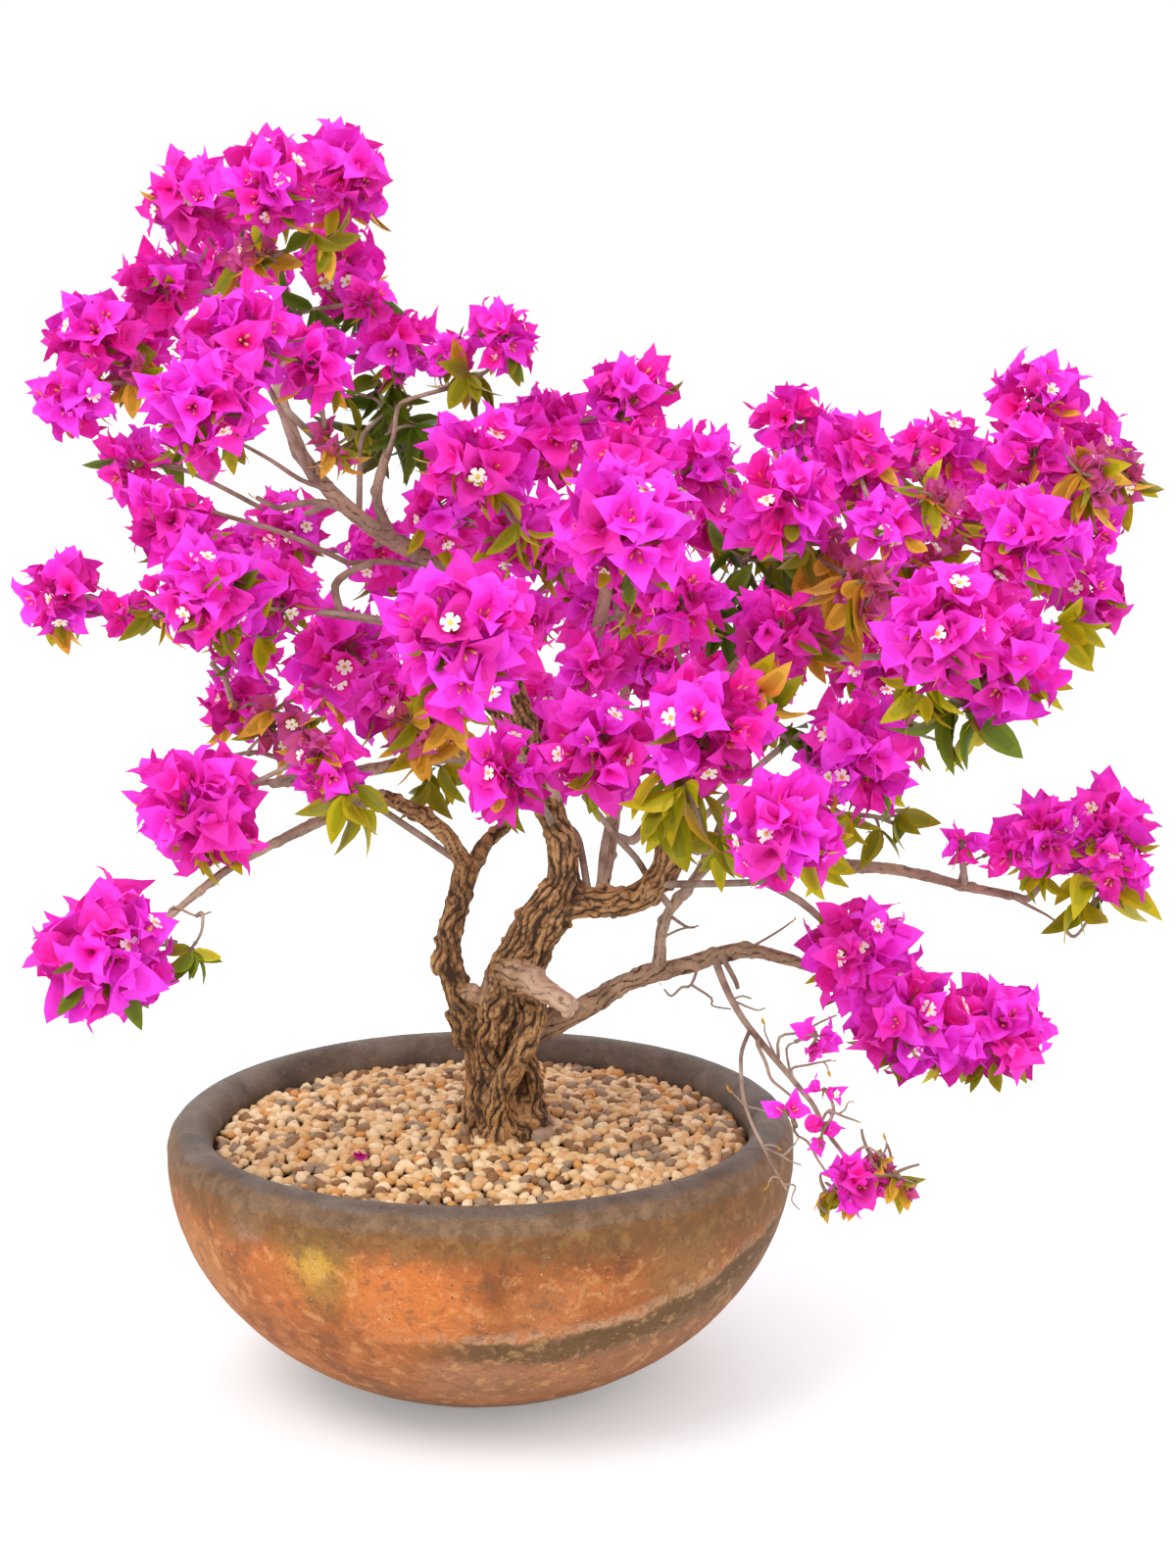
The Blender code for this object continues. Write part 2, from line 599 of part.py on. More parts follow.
def grow_twigs(name, wood):
    """The mass's stem and its branches, as (path, radii, cluster), each ending at a cluster's centre.
    The stem goes to the nearest cluster, and then the rest join on, the nearest first."""
    mass = MASSES[name]
    rng = random.Random(f"{SEED} {name}")
    waiting = clusters_of(name)
    root, _ = stem_start(mass.bough, mass.share, waiting[0].centre)
    first = min(waiting, key=lambda c: (c.centre - root).length)
    waiting.remove(first)
    start, heading = stem_start(mass.bough, mass.share, first.centre)
    base, tip = STEM_RADII
    if mass.share == 1:
        base = min(base, LIMBS[mass.bough].radii[1] * MM)
    stem = clear_twig(wood, start, heading, first.centre, base, name, rng, FIRST_STRETCH)
    twigs = [(stem, [base + (tip - base) * i / (len(stem) - 1) for i in range(len(stem))], first)]
    wood.add(stem, twigs[0][1], name)
    while waiting:
        parent, cluster = min(((twig, c) for twig in twigs for c in waiting),
                              key=lambda pair: (pair[0][2].centre - pair[1].centre).length)
        waiting.remove(cluster)
        start = point_back_along(parent[0], FORK_SETBACK)
        heading = (cluster.centre - start).normalized()
        path = clear_twig(wood, start, heading, cluster.centre, tip, name, rng, SAMPLE_STEP)
        path = [path[0], path[2], path[3]]
        twigs.append((path, [tip] * len(path), cluster))
        wood.add(path, twigs[-1][1], name)
    return twigs


def turned_to(axis, spin):
    """A rotation that takes +Z to axis, after a turn of spin about +Z."""
    return axis.to_track_quat("Z", "Y").to_matrix() @ Matrix.Rotation(spin, 3, "Z")


def bloom_on_stalk(foot, throat, axis, spin, size):
    """Three pointed bracts and the stalk that carries them, as one closed solid of 20 triangles."""
    base = throat + axis * BLOOM_DEPTH * size
    turn = turned_to(axis, spin)
    swing = axis.rotation_difference(throat - foot)
    ring, neck, heel = [], [], []
    for k in range(3):
        tip_angle = 2 * math.pi * k / 3
        notch_angle = tip_angle + math.pi / 3
        tip_out = turn @ Vector((math.cos(tip_angle), math.sin(tip_angle), 0))
        notch_out = turn @ Vector((math.cos(notch_angle), math.sin(notch_angle), 0))
        ring.append(base + (tip_out * math.cos(BRACT_RISE) + axis * math.sin(BRACT_RISE)) * size)
        ring.append(base + (notch_out * NOTCH_REACH + axis * NOTCH_RISE) * size)
        neck.append(throat + notch_out * NECK_RADIUS)
        heel.append(foot + swing @ notch_out * STALK_RADIUS)
    faces = [(1, 3, 5), (0, 1, 5), (2, 3, 1), (4, 5, 3)]
    for k in range(3):
        tip, after, before = 2 * k, 2 * k + 1, (2 * k - 1) % 6
        neck_after, neck_before = 6 + k, 6 + (k - 1) % 3
        faces += [(tip, neck_after, after), (tip, neck_before, neck_after), (tip, before, neck_before)]
        faces.append((neck_before, neck_before + 3, neck_after + 3, neck_after))
    faces.append((9, 10, 11))
    return ring + neck + heel, faces


def folded_leaf(foot, along, spin, length):
    """A pointed leaf, folded along its rib, as a closed solid of 6 triangles."""
    turn = turned_to(along, spin)
    half_width, widest, fold = LEAF_HALF_WIDTH * length, LEAF_WIDEST * length, LEAF_FOLD * length
    tip = (0, -LEAF_DROOP * length, length)
    rib = (0, fold - LEAF_THICKNESS * length, widest)
    local = [(0, 0, 0), tip, (half_width, fold, widest), (-half_width, fold, widest), rib]
    faces = [(0, 3, 2), (1, 2, 3), (0, 2, 4), (2, 1, 4), (1, 3, 4), (3, 0, 4)]
    return [foot + turn @ Vector(p) for p in local], faces


BLOOM_ROOT = {9, 10, 11}
LEAF_ROOT = {0}


class Placed:
    """The pieces of one mass so far. A new one may touch only the twig that it grows from."""

    def __init__(self, name, twigs, wood):
        self.name = name
        self.wood = wood
        self.pieces = [tube(path, radii, TWIG_SIDES) for path, radii, _ in twigs]
        self.twig_trees = [BVHTree.FromPolygons(*piece) for piece in self.pieces]
        self.trees = []

    def place(self, piece, root, cluster):
        """Keeps the piece if there is room for it, and says whether it did."""
        points, faces = piece
        tree = BVHTree.FromPolygons(points, faces)
        if any(tree.overlap(other) for other in self.trees):
            return False
        head = BVHTree.FromPolygons(points, [face for face in faces if not root & set(face)])
        if any(head.overlap(twig) for twig in self.twig_trees):
            return False
        if not inside_space(points, self.name, cluster) or not self.clear_of_wood(piece):
            return False
        self.pieces.append(piece)
        self.trees.append(tree)
        return True

    def clear_of_wood(self, piece):
        points, faces = piece
        for face in faces:
            corners = [points[i] for i in face]
            for b, c in zip(corners[1:], corners[2:]):
                if not self.wood.triangle_is_clear([corners[0], b, c], self.name):
                    return False
        return True


def sphere_directions(count, rng):
    """Directions spread evenly over a sphere, turned at random."""
    turn = Matrix.Rotation(rng.uniform(0, 2 * math.pi), 3, "Z")
    turn = turn @ Matrix.Rotation(rng.uniform(0, math.pi), 3, "X")
    for k in range(count):
        z = 1 - (2 * k + 1) / count
        angle = k * math.pi * (3 - math.sqrt(5))
        r = math.sqrt(1 - z * z)
        yield turn @ Vector((r * math.cos(angle), r * math.sin(angle), z))


def by_radius(rule, cluster):
    fixed, per_metre = rule
    return fixed + per_metre * cluster.radius


def pieces_in(cluster):
    """How many blooms or leaves a cluster has."""
    return max(1, round(by_radius(LEAF_COUNT if cluster.leafy else BLOOM_COUNT, cluster)))


def piece_towards(direction, foot, cluster, share, spin):
    """A bloom or a leaf of the cluster, on the side that direction says. None where it has no stalk."""
    if cluster.leafy:
        along = (cluster.centre + direction * cluster.radius - foot).normalized()
        return folded_leaf(foot, along, spin, by_radius(LEAF_LENGTH, cluster) * share)
    size = min(LONGEST_BRACT, by_radius(BRACT_LENGTH, cluster)) * share
    axis = (direction + Vector((0, 0, UPWARD_LEAN))).normalized()
    reach = THROAT_REACH * cluster.radius - BRACT_OVERHANG * size
    throat = cluster.centre + direction * max(NEAREST_THROAT, reach)
    if (throat - foot).dot(axis) < SHORTEST_STALK:
        return None
    return bloom_on_stalk(foot, throat, axis, spin, size)


def fill_cluster(placed, path, cluster, rng):
    """Sets a cluster's blooms or leaves, rooted along the end of its twig. Each is tried at its full
    size and then smaller, until it has room, and is left out where it never does."""
    heading = (path[-1] - path[-2]).normalized()
    directions = sorted(sphere_directions(pieces_in(cluster), rng), key=lambda d: -d.dot(heading))
    for k, direction in enumerate(directions):
        foot = point_back_along(path, ROOT_SPACING * (0.5 + k))
        for attempt in range(PLACING_TRIES):
            share = LARGEST_SHARE + (SMALLEST_SHARE - LARGEST_SHARE) * attempt / PLACING_TRIES
            spin = rng.uniform(0, 2 * math.pi)
            direction = (direction + DIRECTION_STRAY * random_vector(rng)).normalized()
            piece = piece_towards(direction, foot, cluster, share, spin)
            if piece and placed.place(piece, LEAF_ROOT if cluster.leafy else BLOOM_ROOT, cluster):
                break


def keep_largest_part(obj):
    """Drops any loose scrap that the union left beside the mass."""
    bm = bmesh.new()
    bm.from_mesh(obj.data)
    unseen, parts = set(bm.verts), []
    while unseen:
        part, stack = [], [unseen.pop()]
        while stack:
            vert = stack.pop()
            part.append(vert)
            beyond = {edge.other_vert(vert) for edge in vert.link_edges} & unseen
            unseen -= beyond
            stack += beyond
        parts.append(part)
    parts.sort(key=len)
    bmesh.ops.delete(bm, geom=[vert for part in parts[:-1] for vert in part], context="VERTS")
    bm.to_mesh(obj.data)
    bm.free()


def fuse(name, pieces, material):
    """One solid from overlapping pieces, by one union on a collection."""
    collection = bpy.data.collections.new(name + "_pieces")
    bpy.context.scene.collection.children.link(collection)
    for k, piece in enumerate(pieces[1:]):
        mesh_object(f"{name}_piece_{k}", *piece, collection)
    obj = mesh_object(name, *pieces[0])
    union = obj.modifiers.new("union", "BOOLEAN")
    union.operation = "UNION"
    union.operand_type = "COLLECTION"
    union.collection = collection
    union.solver = "MANIFOLD"
    graph = bpy.context.evaluated_depsgraph_get()
    joined = bpy.data.meshes.new_from_object(obj.evaluated_get(graph))
    obj.modifiers.clear()
    obj.data = joined
    for piece in list(collection.objects):
        bpy.data.objects.remove(piece)
    bpy.data.collections.remove(collection)
    keep_largest_part(obj)
    shade(obj, material, sharp_angle=20)


def build_masses(material):
    wood = Wood()
    for name in LIMBS:
        path = limb_path(name)
        wood.add(path, limb_radii(name, len(path)), name)
    twigs_of = {name: grow_twigs(name, wood) for name in MASSES}
    for name, twigs in twigs_of.items():
        rng = random.Random(f"{SEED} {name} pieces")
        placed = Placed(name, twigs, wood)
        for path, _, cluster in twigs:
            fill_cluster(placed, path, cluster, rng)
        fuse(name, placed.pieces, material)


def main():
    for obj in list(bpy.data.objects):
        bpy.data.objects.remove(obj)
    build_pot(principled("terracotta", (0.42, 0.17, 0.07), 0.85))
    build_gravel(principled("gravel", (0.48, 0.33, 0.20), 0.80))
    build_limbs(principled("bark", (0.24, 0.17, 0.12), 0.90))
    build_masses(principled("blossom", (0.80, 0.02, 0.55), 0.55))


main()
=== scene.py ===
import json
import math
import random

import bmesh
import bpy
import numpy as np
from mathutils import Matrix, Vector, noise

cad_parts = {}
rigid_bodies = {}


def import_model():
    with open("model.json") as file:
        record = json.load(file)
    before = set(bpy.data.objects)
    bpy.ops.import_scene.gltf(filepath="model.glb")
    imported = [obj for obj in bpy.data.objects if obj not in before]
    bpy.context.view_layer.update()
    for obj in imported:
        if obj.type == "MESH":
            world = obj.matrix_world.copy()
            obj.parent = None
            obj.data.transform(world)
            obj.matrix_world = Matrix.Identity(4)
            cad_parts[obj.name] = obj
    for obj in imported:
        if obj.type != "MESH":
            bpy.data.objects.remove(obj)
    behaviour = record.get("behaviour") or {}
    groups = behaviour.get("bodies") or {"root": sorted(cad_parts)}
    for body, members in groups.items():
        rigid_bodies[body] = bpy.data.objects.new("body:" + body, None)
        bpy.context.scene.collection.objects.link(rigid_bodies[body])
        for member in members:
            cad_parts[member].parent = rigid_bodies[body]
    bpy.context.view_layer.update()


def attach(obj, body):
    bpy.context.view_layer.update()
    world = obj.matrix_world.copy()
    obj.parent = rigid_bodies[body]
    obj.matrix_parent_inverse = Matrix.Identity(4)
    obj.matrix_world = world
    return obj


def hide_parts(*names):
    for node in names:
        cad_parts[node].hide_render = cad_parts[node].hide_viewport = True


# A potted bougainvillea. Metres, Z up. The bowl stands on the origin; the plant's wide side faces -Y.
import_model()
mm = 0.001
seed = 4
noise.seed_set(seed)  # noise_vector would start from the clock otherwise


# Paint: materials written as expressions

class Num:
    # A socket that holds a number. Arithmetic on it adds Math nodes.
    def __init__(self, paint, socket):
        self.paint, self.socket = paint, socket

    def __add__(self, other):
        return self.paint.math("ADD", self, other)

    def __sub__(self, other):
        return self.paint.math("SUBTRACT", self, other)

    def __rsub__(self, other):
        return self.paint.math("SUBTRACT", other, self)

    def __mul__(self, other):
        return self.paint.math("MULTIPLY", self, other)

    __radd__, __rmul__ = __add__, __mul__


class Paint:
    # One material: its Principled shader, and the nodes that feed it.
    def __init__(self, name, colour, roughness, **fixed):
        self.material = bpy.data.materials.new(name)
        self.material.use_nodes = True
        self.tree = self.material.node_tree
        self.shader = self.tree.nodes["Principled BSDF"]
        self.set(**{"Base Color": (*colour, 1), "Roughness": roughness}, **fixed)

    def set(self, **values):
        for key, value in values.items():
            self.put(self.shader.inputs[key.replace("_", " ")], value)

    def put(self, socket, value):
        if isinstance(value, Num):
            self.tree.links.new(value.socket, socket)
        else:
            socket.default_value = value

    def node(self, kind, settings=None, inputs=None, output=0):
        made = self.tree.nodes.new(kind)
        for key, value in (settings or {}).items():
            if key == "stops":
                self.setStops(made.color_ramp, value)
            else:
                setattr(made, key, value)
        for key, value in (inputs or {}).items():
            self.put(made.inputs[key], value)
        return Num(self, made.outputs[output])

    def setStops(self, ramp, stops):
        while len(ramp.elements) < len(stops):
            ramp.elements.new(1)
        for element, (place, colour) in zip(ramp.elements, stops):
            element.position = place
            element.color = (*colour, 1)

    def math(self, operation, a, b=0.0):
        return self.node("ShaderNodeMath", {"operation": operation}, {0: a, 1: b})

    def place(self):
        return self.node("ShaderNodeTexCoord", output="Object")

    def axis(self, which):
        return self.node("ShaderNodeSeparateXYZ", {}, {0: self.place()}, output=which)

    def noise(self, size, detail=3.0, rough=0.55, warp=0.0):
        inputs = {"Vector": self.place(), "Scale": 1 / size, "Detail": detail, "Roughness": rough}
        return self.node("ShaderNodeTexNoise", {}, {**inputs, "Distortion": warp}, output="Fac")

    def spots(self, size):
        inputs = {"Vector": self.place(), "Scale": 1 / size}
        return self.node("ShaderNodeTexVoronoi", {}, inputs, output="Distance")

    def thread(self, value, wide, thin):
        # 1 along the lines where a noise crosses its middle
        return self.step(self.math("ABSOLUTE", value - 0.5), wide, thin)

    def step(self, value, low, high):
        # 0 below low, 1 above high, smooth between; falls instead where low is above high
        if low > high:
            return 1 - self.step(value, high, low)
        inputs = {"Value": value, "From Min": low, "From Max": high}
        return self.node("ShaderNodeMapRange", {"interpolation_type": "SMOOTHSTEP"}, inputs)

    def ramp(self, value, *stops):
        return self.node("ShaderNodeValToRGB", {"stops": stops}, {0: value})

    def mix(self, share, a, b):
        a, b = [(*c, 1) if isinstance(c, tuple) else c for c in (a, b)]
        return self.node("ShaderNodeMix", {"data_type": "RGBA"}, {0: share, 6: a, 7: b}, 2)

    def layers(self, colour, *rows):
        # colours laid one over the other, each where its share says
        for share, tint in rows:
            colour = self.mix(share, colour, tint)
        return colour

    def patches(self, colour, rows, wobble, core):
        # round patches with uneven edges, full inside a part of their radius
        place = self.place()
        for middle, radius, strength, tint in rows:
            inputs = {0: place, 1: middle}
            apart = self.node("ShaderNodeVectorMath", {"operation": "DISTANCE"}, inputs, "Value")
            near = self.step(apart + wobble(radius), radius, radius * core)
            colour = self.mix(near * strength, colour, tint)
        return colour

    def relief(self, height, depth, strength=1.0):
        inputs = {"Height": height, "Distance": depth, "Strength": strength}
        self.set(Normal=self.node("ShaderNodeBump", {}, inputs))


# The plant's table: limbs and masses, in millimetres

limbs = {  # parent, how it joins, radii at its two ends, how furrowed its bark is, points
    "trunk": ("", "ground", (24.5, 18), 1.0, [
        (22, 0, 207), (14, 0, 262), (17, -12, 305), (27, -17, 340), (44, -20, 374), (68, -20, 413)]),
    "left_stem": ("trunk", "side", (12.4, 8.4), 0.9, [
        (13, 0, 250), (-9, -8, 299), (-20, -12, 333), (-26, -12, 362), (-19, -8, 396), (-12, 0, 429)]),
    "left_arm": ("left_stem", "tip", (8.2, 5.6), 0.7, [
        (-12, 0, 429), (-24, -2, 451), (-45, -14, 473), (-76, -35, 494)]),
    "left_inner_arm": ("left_stem", "side", (7.2, 4.2), 0.7, [
        (-15, -4, 406), (2, 22, 440), (24, 60, 460), (20, 115, 507), (-5, 155, 560)]),
    "sawn_stub": ("trunk", "side", (12.5, 7.4), 0.6, [(20, -15, 333), (44, -56, 345), (76, -92, 334)]),
    "main_stem": ("trunk", "tip", (13.2, 8), 0.8, [
        (68, -20, 413), (67, -18, 450), (52, -5, 492), (33, 18, 555), (15, 30, 612)]),
    "upper_left_bough": ("main_stem", "tip", (8, 5.6), 0.35, [
        (15, 30, 612), (-26, 20, 667), (-79, 0, 701), (-113, -10, 731), (-139, -18, 764)]),
    "top_bough": ("upper_left_bough", "tip", (5.8, 3.2), 0.2, [
        (-139, -18, 764), (-155, 0, 811), (-164, 20, 864), (-172, 30, 908)]),
    "high_bough": ("upper_left_bough", "side", (4.8, 3), 0.2, [
        (-70, 3, 696), (-81, 20, 730), (-71, 40, 771), (-66, 50, 806)]),
    "left_limb": ("main_stem", "side", (5.5, 3), 0.2, [
        (22, 25, 588), (-30, 2, 620), (-82, -28, 634), (-128, -62, 645)]),
    "left_low_limb": ("main_stem", "side", (7, 4), 0.3, [
        (43, 3, 513), (-25, -16, 522), (-90, -50, 516), (-146, -88, 514)]),
    "long_left_limb": ("left_arm", "tip", (5.2, 2.8), 0.2, [
        (-76, -35, 494), (-132, -78, 476), (-185, -130, 455), (-228, -172, 425)]),
    "right_fork": ("trunk", "side", (12.8, 9.4), 0.9, [
        (62, -20, 403), (94, -26, 404), (126, -38, 410), (149, -45, 437), (165, -40, 503)]),
    "right_bough": ("right_fork", "tip", (9.8, 6.5), 0.4, [
        (165, -40, 503), (190, -20, 567), (234, 0, 613), (275, 18, 630), (315, 28, 653)]),
    "right_far_bough": ("right_bough", "tip", (6.2, 3.5), 0.2, [
        (315, 28, 653), (365, 22, 682), (408, 18, 720), (440, 15, 750)]),
    "centre_bough": ("main_stem", "side", (7.5, 4), 0.2, [
        (57, -9, 478), (75, -4, 560), (100, -10, 640), (108, -16, 715)]),
    "back_bough": ("right_fork", "side", (6, 4.2), 0.3, [
        (98, -28, 405), (108, 20, 450), (115, 80, 510), (122, 130, 580)]),
    "right_low_limb": ("right_fork", "side", (6.8, 3.5), 0.25, [
        (155, -45, 460), (216, -10, 440), (290, 14, 427), (346, 8, 423), (395, -10, 414),
        (432, -28, 410)]),
    "low_right_bough": ("trunk", "side", (10.5, 4), 0.45, [
        (15, -3, 278), (68, 8, 297), (121, 0, 331), (168, -20, 350), (211, -40, 368), (245, -60, 366),
        (272, -80, 362)]),
    "low_riser": ("low_right_bough", "side", (5.2, 3.6), 0.3, [
        (146, -11, 342), (151, -6, 385), (178, -4, 422), (196, -8, 462), (205, -20, 498)]),
}

# bough, where on it the stem starts (1 is its tip), clusters of blossom (x, y, z, radius) and of leaves
# (x, y, z, radius, tone)
masses = {
    "top_middle_mass": ("top_bough", 1.0, [(-154, -50, 970, 42), (-200, 110, 908, 42)], []),
    "top_left_mass": ("top_bough", 0.80, [(-250, 45, 896, 38), (-225, 20, 961, 39)], []),
    "top_right_mass": ("top_bough", 0.72, [
        (-115, 70, 912, 38), (-106, 30, 982, 41), (-86, 10, 884, 21)], [
        (-93, 60, 888, 28, "dark"), (-170, -20, 915, 26, "dry"), (-142, 20, 872, 30, "dark"),
        (-118, -40, 930, 20, "olive")]),
    "far_left_mass": ("top_bough", 0.45, [
        (-278, 55, 853, 34), (-296, -20, 858, 39), (-307, -55, 812, 33)], [
        (-272, -20, 822, 20, "dry")]),
    "left_front_mass": ("top_bough", 0.25, [
        (-118, -85, 838, 33), (-167, -140, 853, 44), (-188, -195, 812, 46)], [
        (-190, -60, 782, 22, "olive"), (-110, -60, 768, 15, "dry"), (-100, 50, 775, 18, "olive")]),
    "back_left_mass": ("top_bough", 0.60, [(-222, 200, 858, 50)], [(-262, 160, 775, 36, "olive")]),
    "high_sprig_mass": ("high_bough", 1.0, [
        (-68, 45, 852, 34), (-21, 5, 840, 22), (22, -20, 856, 29)], [
        (-76, 115, 783, 44, "dark"), (-46, 40, 779, 38, "dark"), (-75, 60, 813, 36, "dark"),
        (-4, 0, 823, 26, "olive")]),
    "left_small_mass": ("upper_left_bough", 0.72, [
        (-157, 60, 702, 34), (-233, -60, 715, 38), (-278, 20, 758, 30)], []),
    "left_back_mass": ("upper_left_bough", 0.45, [(-86, 90, 678, 34), (-205, 150, 665, 42)], []),
    "left_low_mass": ("left_limb", 1.0, [
        (-153, -60, 661, 36), (-194, -150, 672, 46), (-322, -60, 660, 34), (-177, -60, 616, 28),
        (-272, -70, 645, 20), (-240, -90, 660, 18)], [
        (-242, -105, 645, 18, "olive"), (-170, -100, 630, 22, "lime")]),
    "inner_left_mass": ("left_limb", 0.45, [
        (-72, -25, 575, 34), (-117, 50, 597, 46), (-192, -20, 568, 32), (-40, 45, 628, 34)], [
        (-42, -60, 550, 30, "dry"), (-40, 20, 501, 28, "olive"), (-14, -60, 562, 28, "dry")]),
    "left_lower_mass": ("left_low_limb", 1.0, [
        (-207, -140, 505, 51), (-108, -120, 532, 31)], [
        (-90, -135, 512, 28, "lime"), (-148, -80, 560, 28, "dry"), (-116, -120, 545, 18, "dry")]),
    "lone_left_mass": ("long_left_limb", 1.0, [(-269, -198, 406, 54)], [
        (-208, -190, 404, 13, "green")]),
    "centre_front_mass": ("main_stem", 0.86, [(-1, -270, 651, 56)], [(10, -130, 640, 34, "olive")]),
    "middle_left_mass": ("upper_left_bough", 0.12, [
        (-27, -20, 722, 33), (3, -95, 763, 43), (52, 10, 700, 40), (28, -60, 708, 32),
        (48, -40, 640, 24)], [
        (36, -90, 712, 22, "lime")]),
    "middle_high_mass": ("centre_bough", 1.0, [(58, 45, 779, 41), (117, 20, 808, 40)], []),
    "middle_front_mass": ("centre_bough", 0.80, [
        (176, 0, 758, 34), (121, -120, 764, 38), (116, -225, 724, 51)], []),
    "centre_mass": ("centre_bough", 0.50, [
        (92, -50, 604, 30), (159, -120, 661, 38), (143, 60, 595, 36)], [
        (195, 20, 640, 34, "dark"), (132, -62, 650, 24, "dry"), (170, -60, 640, 18, "olive")]),
    "centre_low_mass": ("main_stem", 0.36, [(27, -185, 540, 36), (97, -180, 560, 46)], []),
    "back_left_low_mass": ("left_inner_arm", 1.0, [(-23, 205, 660, 50), (-130, 215, 560, 48)], []),
    "back_middle_mass": ("back_bough", 1.0, [
        (106, 225, 631, 50), (122, 180, 750, 46), (196, 280, 697, 46)], []),
    "back_low_mass": ("back_bough", 0.55, [(54, 220, 520, 44), (225, 240, 545, 50)], []),
    "right_front_mass": ("right_fork", 0.82, [(175, -220, 583, 50)], [
        (157, -225, 534, 44, "lime"), (210, -205, 600, 34, "olive"), (184, -200, 486, 24, "lime"),
        (252, -110, 556, 22, "green")]),
    "right_low_front_mass": ("right_fork", 0.64, [(225, -285, 519, 44)], [
        (262, -200, 480, 24, "lime")]),
    "right_low_mass": ("low_riser", 1.0, [(294, -120, 545, 48)], [
        (332, -40, 472, 25, "olive"), (290, -60, 472, 22, "lime"), (334, -60, 558, 30, "olive")]),
    "right_inner_mass": ("right_bough", 0.55, [(232, -95, 636, 37)], [
        (300, -45, 660, 42, "dry"), (245, 70, 680, 42, "green"), (350, -60, 680, 34, "dry"),
        (226, 60, 650, 36, "dark"), (270, -50, 690, 26, "dry"), (214, 40, 676, 28, "dark"),
        (292, -120, 668, 32, "dry"), (258, -50, 612, 24, "dry")]),
    "right_high_left_mass": ("right_bough", 0.72, [(235, -115, 733, 42), (256, 75, 787, 34)], []),
    "right_high_mass": ("right_bough", 0.95, [
        (315, -100, 713, 34), (300, 10, 757, 41), (374, 40, 765, 36)], [
        (348, -100, 735, 20, "dry")]),
    "right_top_mass": ("right_far_bough", 1.0, [
        (432, -40, 763, 36), (446, 15, 806, 40), (494, 50, 764, 39)], [
        (512, 20, 742, 26, "dry"), (474, -60, 746, 26, "dry")]),
    "right_middle_mass": ("right_far_bough", 0.60, [
        (419, -100, 706, 43), (480, -20, 660, 36), (470, 30, 712, 32), (453, -60, 693, 30),
        (372, -20, 716, 30), (486, -20, 704, 26)], [
        (460, -60, 632, 28, "lime")]),
    "right_big_mass": ("right_far_bough", 0.20, [
        (399, -155, 618, 44), (345, -215, 652, 48)], [
        (370, -150, 580, 40, "green"), (428, -120, 598, 24, "lime"), (334, -180, 604, 26, "lime")]),
    "back_right_high_mass": ("right_bough", 0.88, [(312, 205, 743, 50), (455, 195, 725, 50)], []),
    "back_right_mass": ("right_bough", 0.40, [(341, 265, 580, 50), (430, 170, 610, 50)], []),
    "lone_right_mass": ("right_low_limb", 1.0, [
        (450, -50, 464, 40), (496, -50, 468, 43), (424, -55, 455, 22), (506, -64, 442, 28)], [
        (490, -65, 424, 37, "lime"), (446, -62, 438, 15, "lime")]),
    "right_sprig_mass": ("right_low_limb", 0.80, [(385, -55, 461, 16)], []),
    "low_right_mass": ("low_right_bough", 1.0, [
        (300, -105, 386, 45), (335, -120, 337, 47), (408, -105, 324, 43), (372, -108, 318, 34)], []),
    "drooping_sprig_mass": ("low_right_bough", 0.70, [
        (258, -195, 341, 13), (262, -228, 310, 9), (235, -218, 290, 10), (258, -236, 279, 12),
        (283, -256, 249, 24)], [
        (301, -256, 262, 11, "dry"), (313, -258, 250, 9, "dry"), (268, -256, 238, 9, "dry")]),
}


# Curves, meshes and node trees

def smoothCurve(points, perSpan):
    # Catmull-Rom through the points
    p = [2 * points[0] - points[1]] + list(points) + [2 * points[-1] - points[-2]]
    curve = []
    for a, b, c, d in zip(p, p[1:], p[2:], p[3:]):
        for k in range(perSpan):
            t = k / perSpan
            cubic = (3 * b - a - 3 * c + d) * t ** 3
            curve.append(0.5 * (2 * b + (c - a) * t + (2 * a - 5 * b + 4 * c - d) * t * t + cubic))
    return curve + [p[-2]]


def framesAlong(path):
    # tangent and two square axes at each point, turning as little as possible
    steps = [(b - a).normalized() for a, b in zip(path, path[1:])]
    tangents = [steps[0]] + [(a + b).normalized() for a, b in zip(steps, steps[1:])] + [steps[-1]]
    side = tangents[0].orthogonal().normalized()
    frames = []
    for tangent in tangents:
        side = (side - side.dot(tangent) * tangent).normalized()
        frames.append((tangent, side, tangent.cross(side)))
    return frames


def meshObject(name, points, faces, paints=()):
    mesh = bpy.data.meshes.new(name)
    mesh.from_pydata([tuple(p) for p in points], [], faces)
    mesh.shade_smooth()
    for paint in paints:
        mesh.materials.append(paint.material)
    made = bpy.data.objects.new(name, mesh)
    bpy.context.scene.collection.objects.link(made)
    return made


def bake(source, name):
    # the evaluated object as a plain mesh of its own; the source goes
    graph = bpy.context.evaluated_depsgraph_get()
    mesh = bpy.data.meshes.new_from_object(source.evaluated_get(graph), depsgraph=graph)
    bpy.data.objects.remove(source)
    mesh.name = name
    made = bpy.data.objects.new(name, mesh)
    bpy.context.scene.collection.objects.link(made)
    return made


def settle(piece, slot, *nodes):
    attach(piece, "root")
    if nodes:
        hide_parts(*nodes)
    piece.data.calc_loop_triangles()
    print(f"  {piece.name}: {len(piece.data.loop_triangles)} triangles")


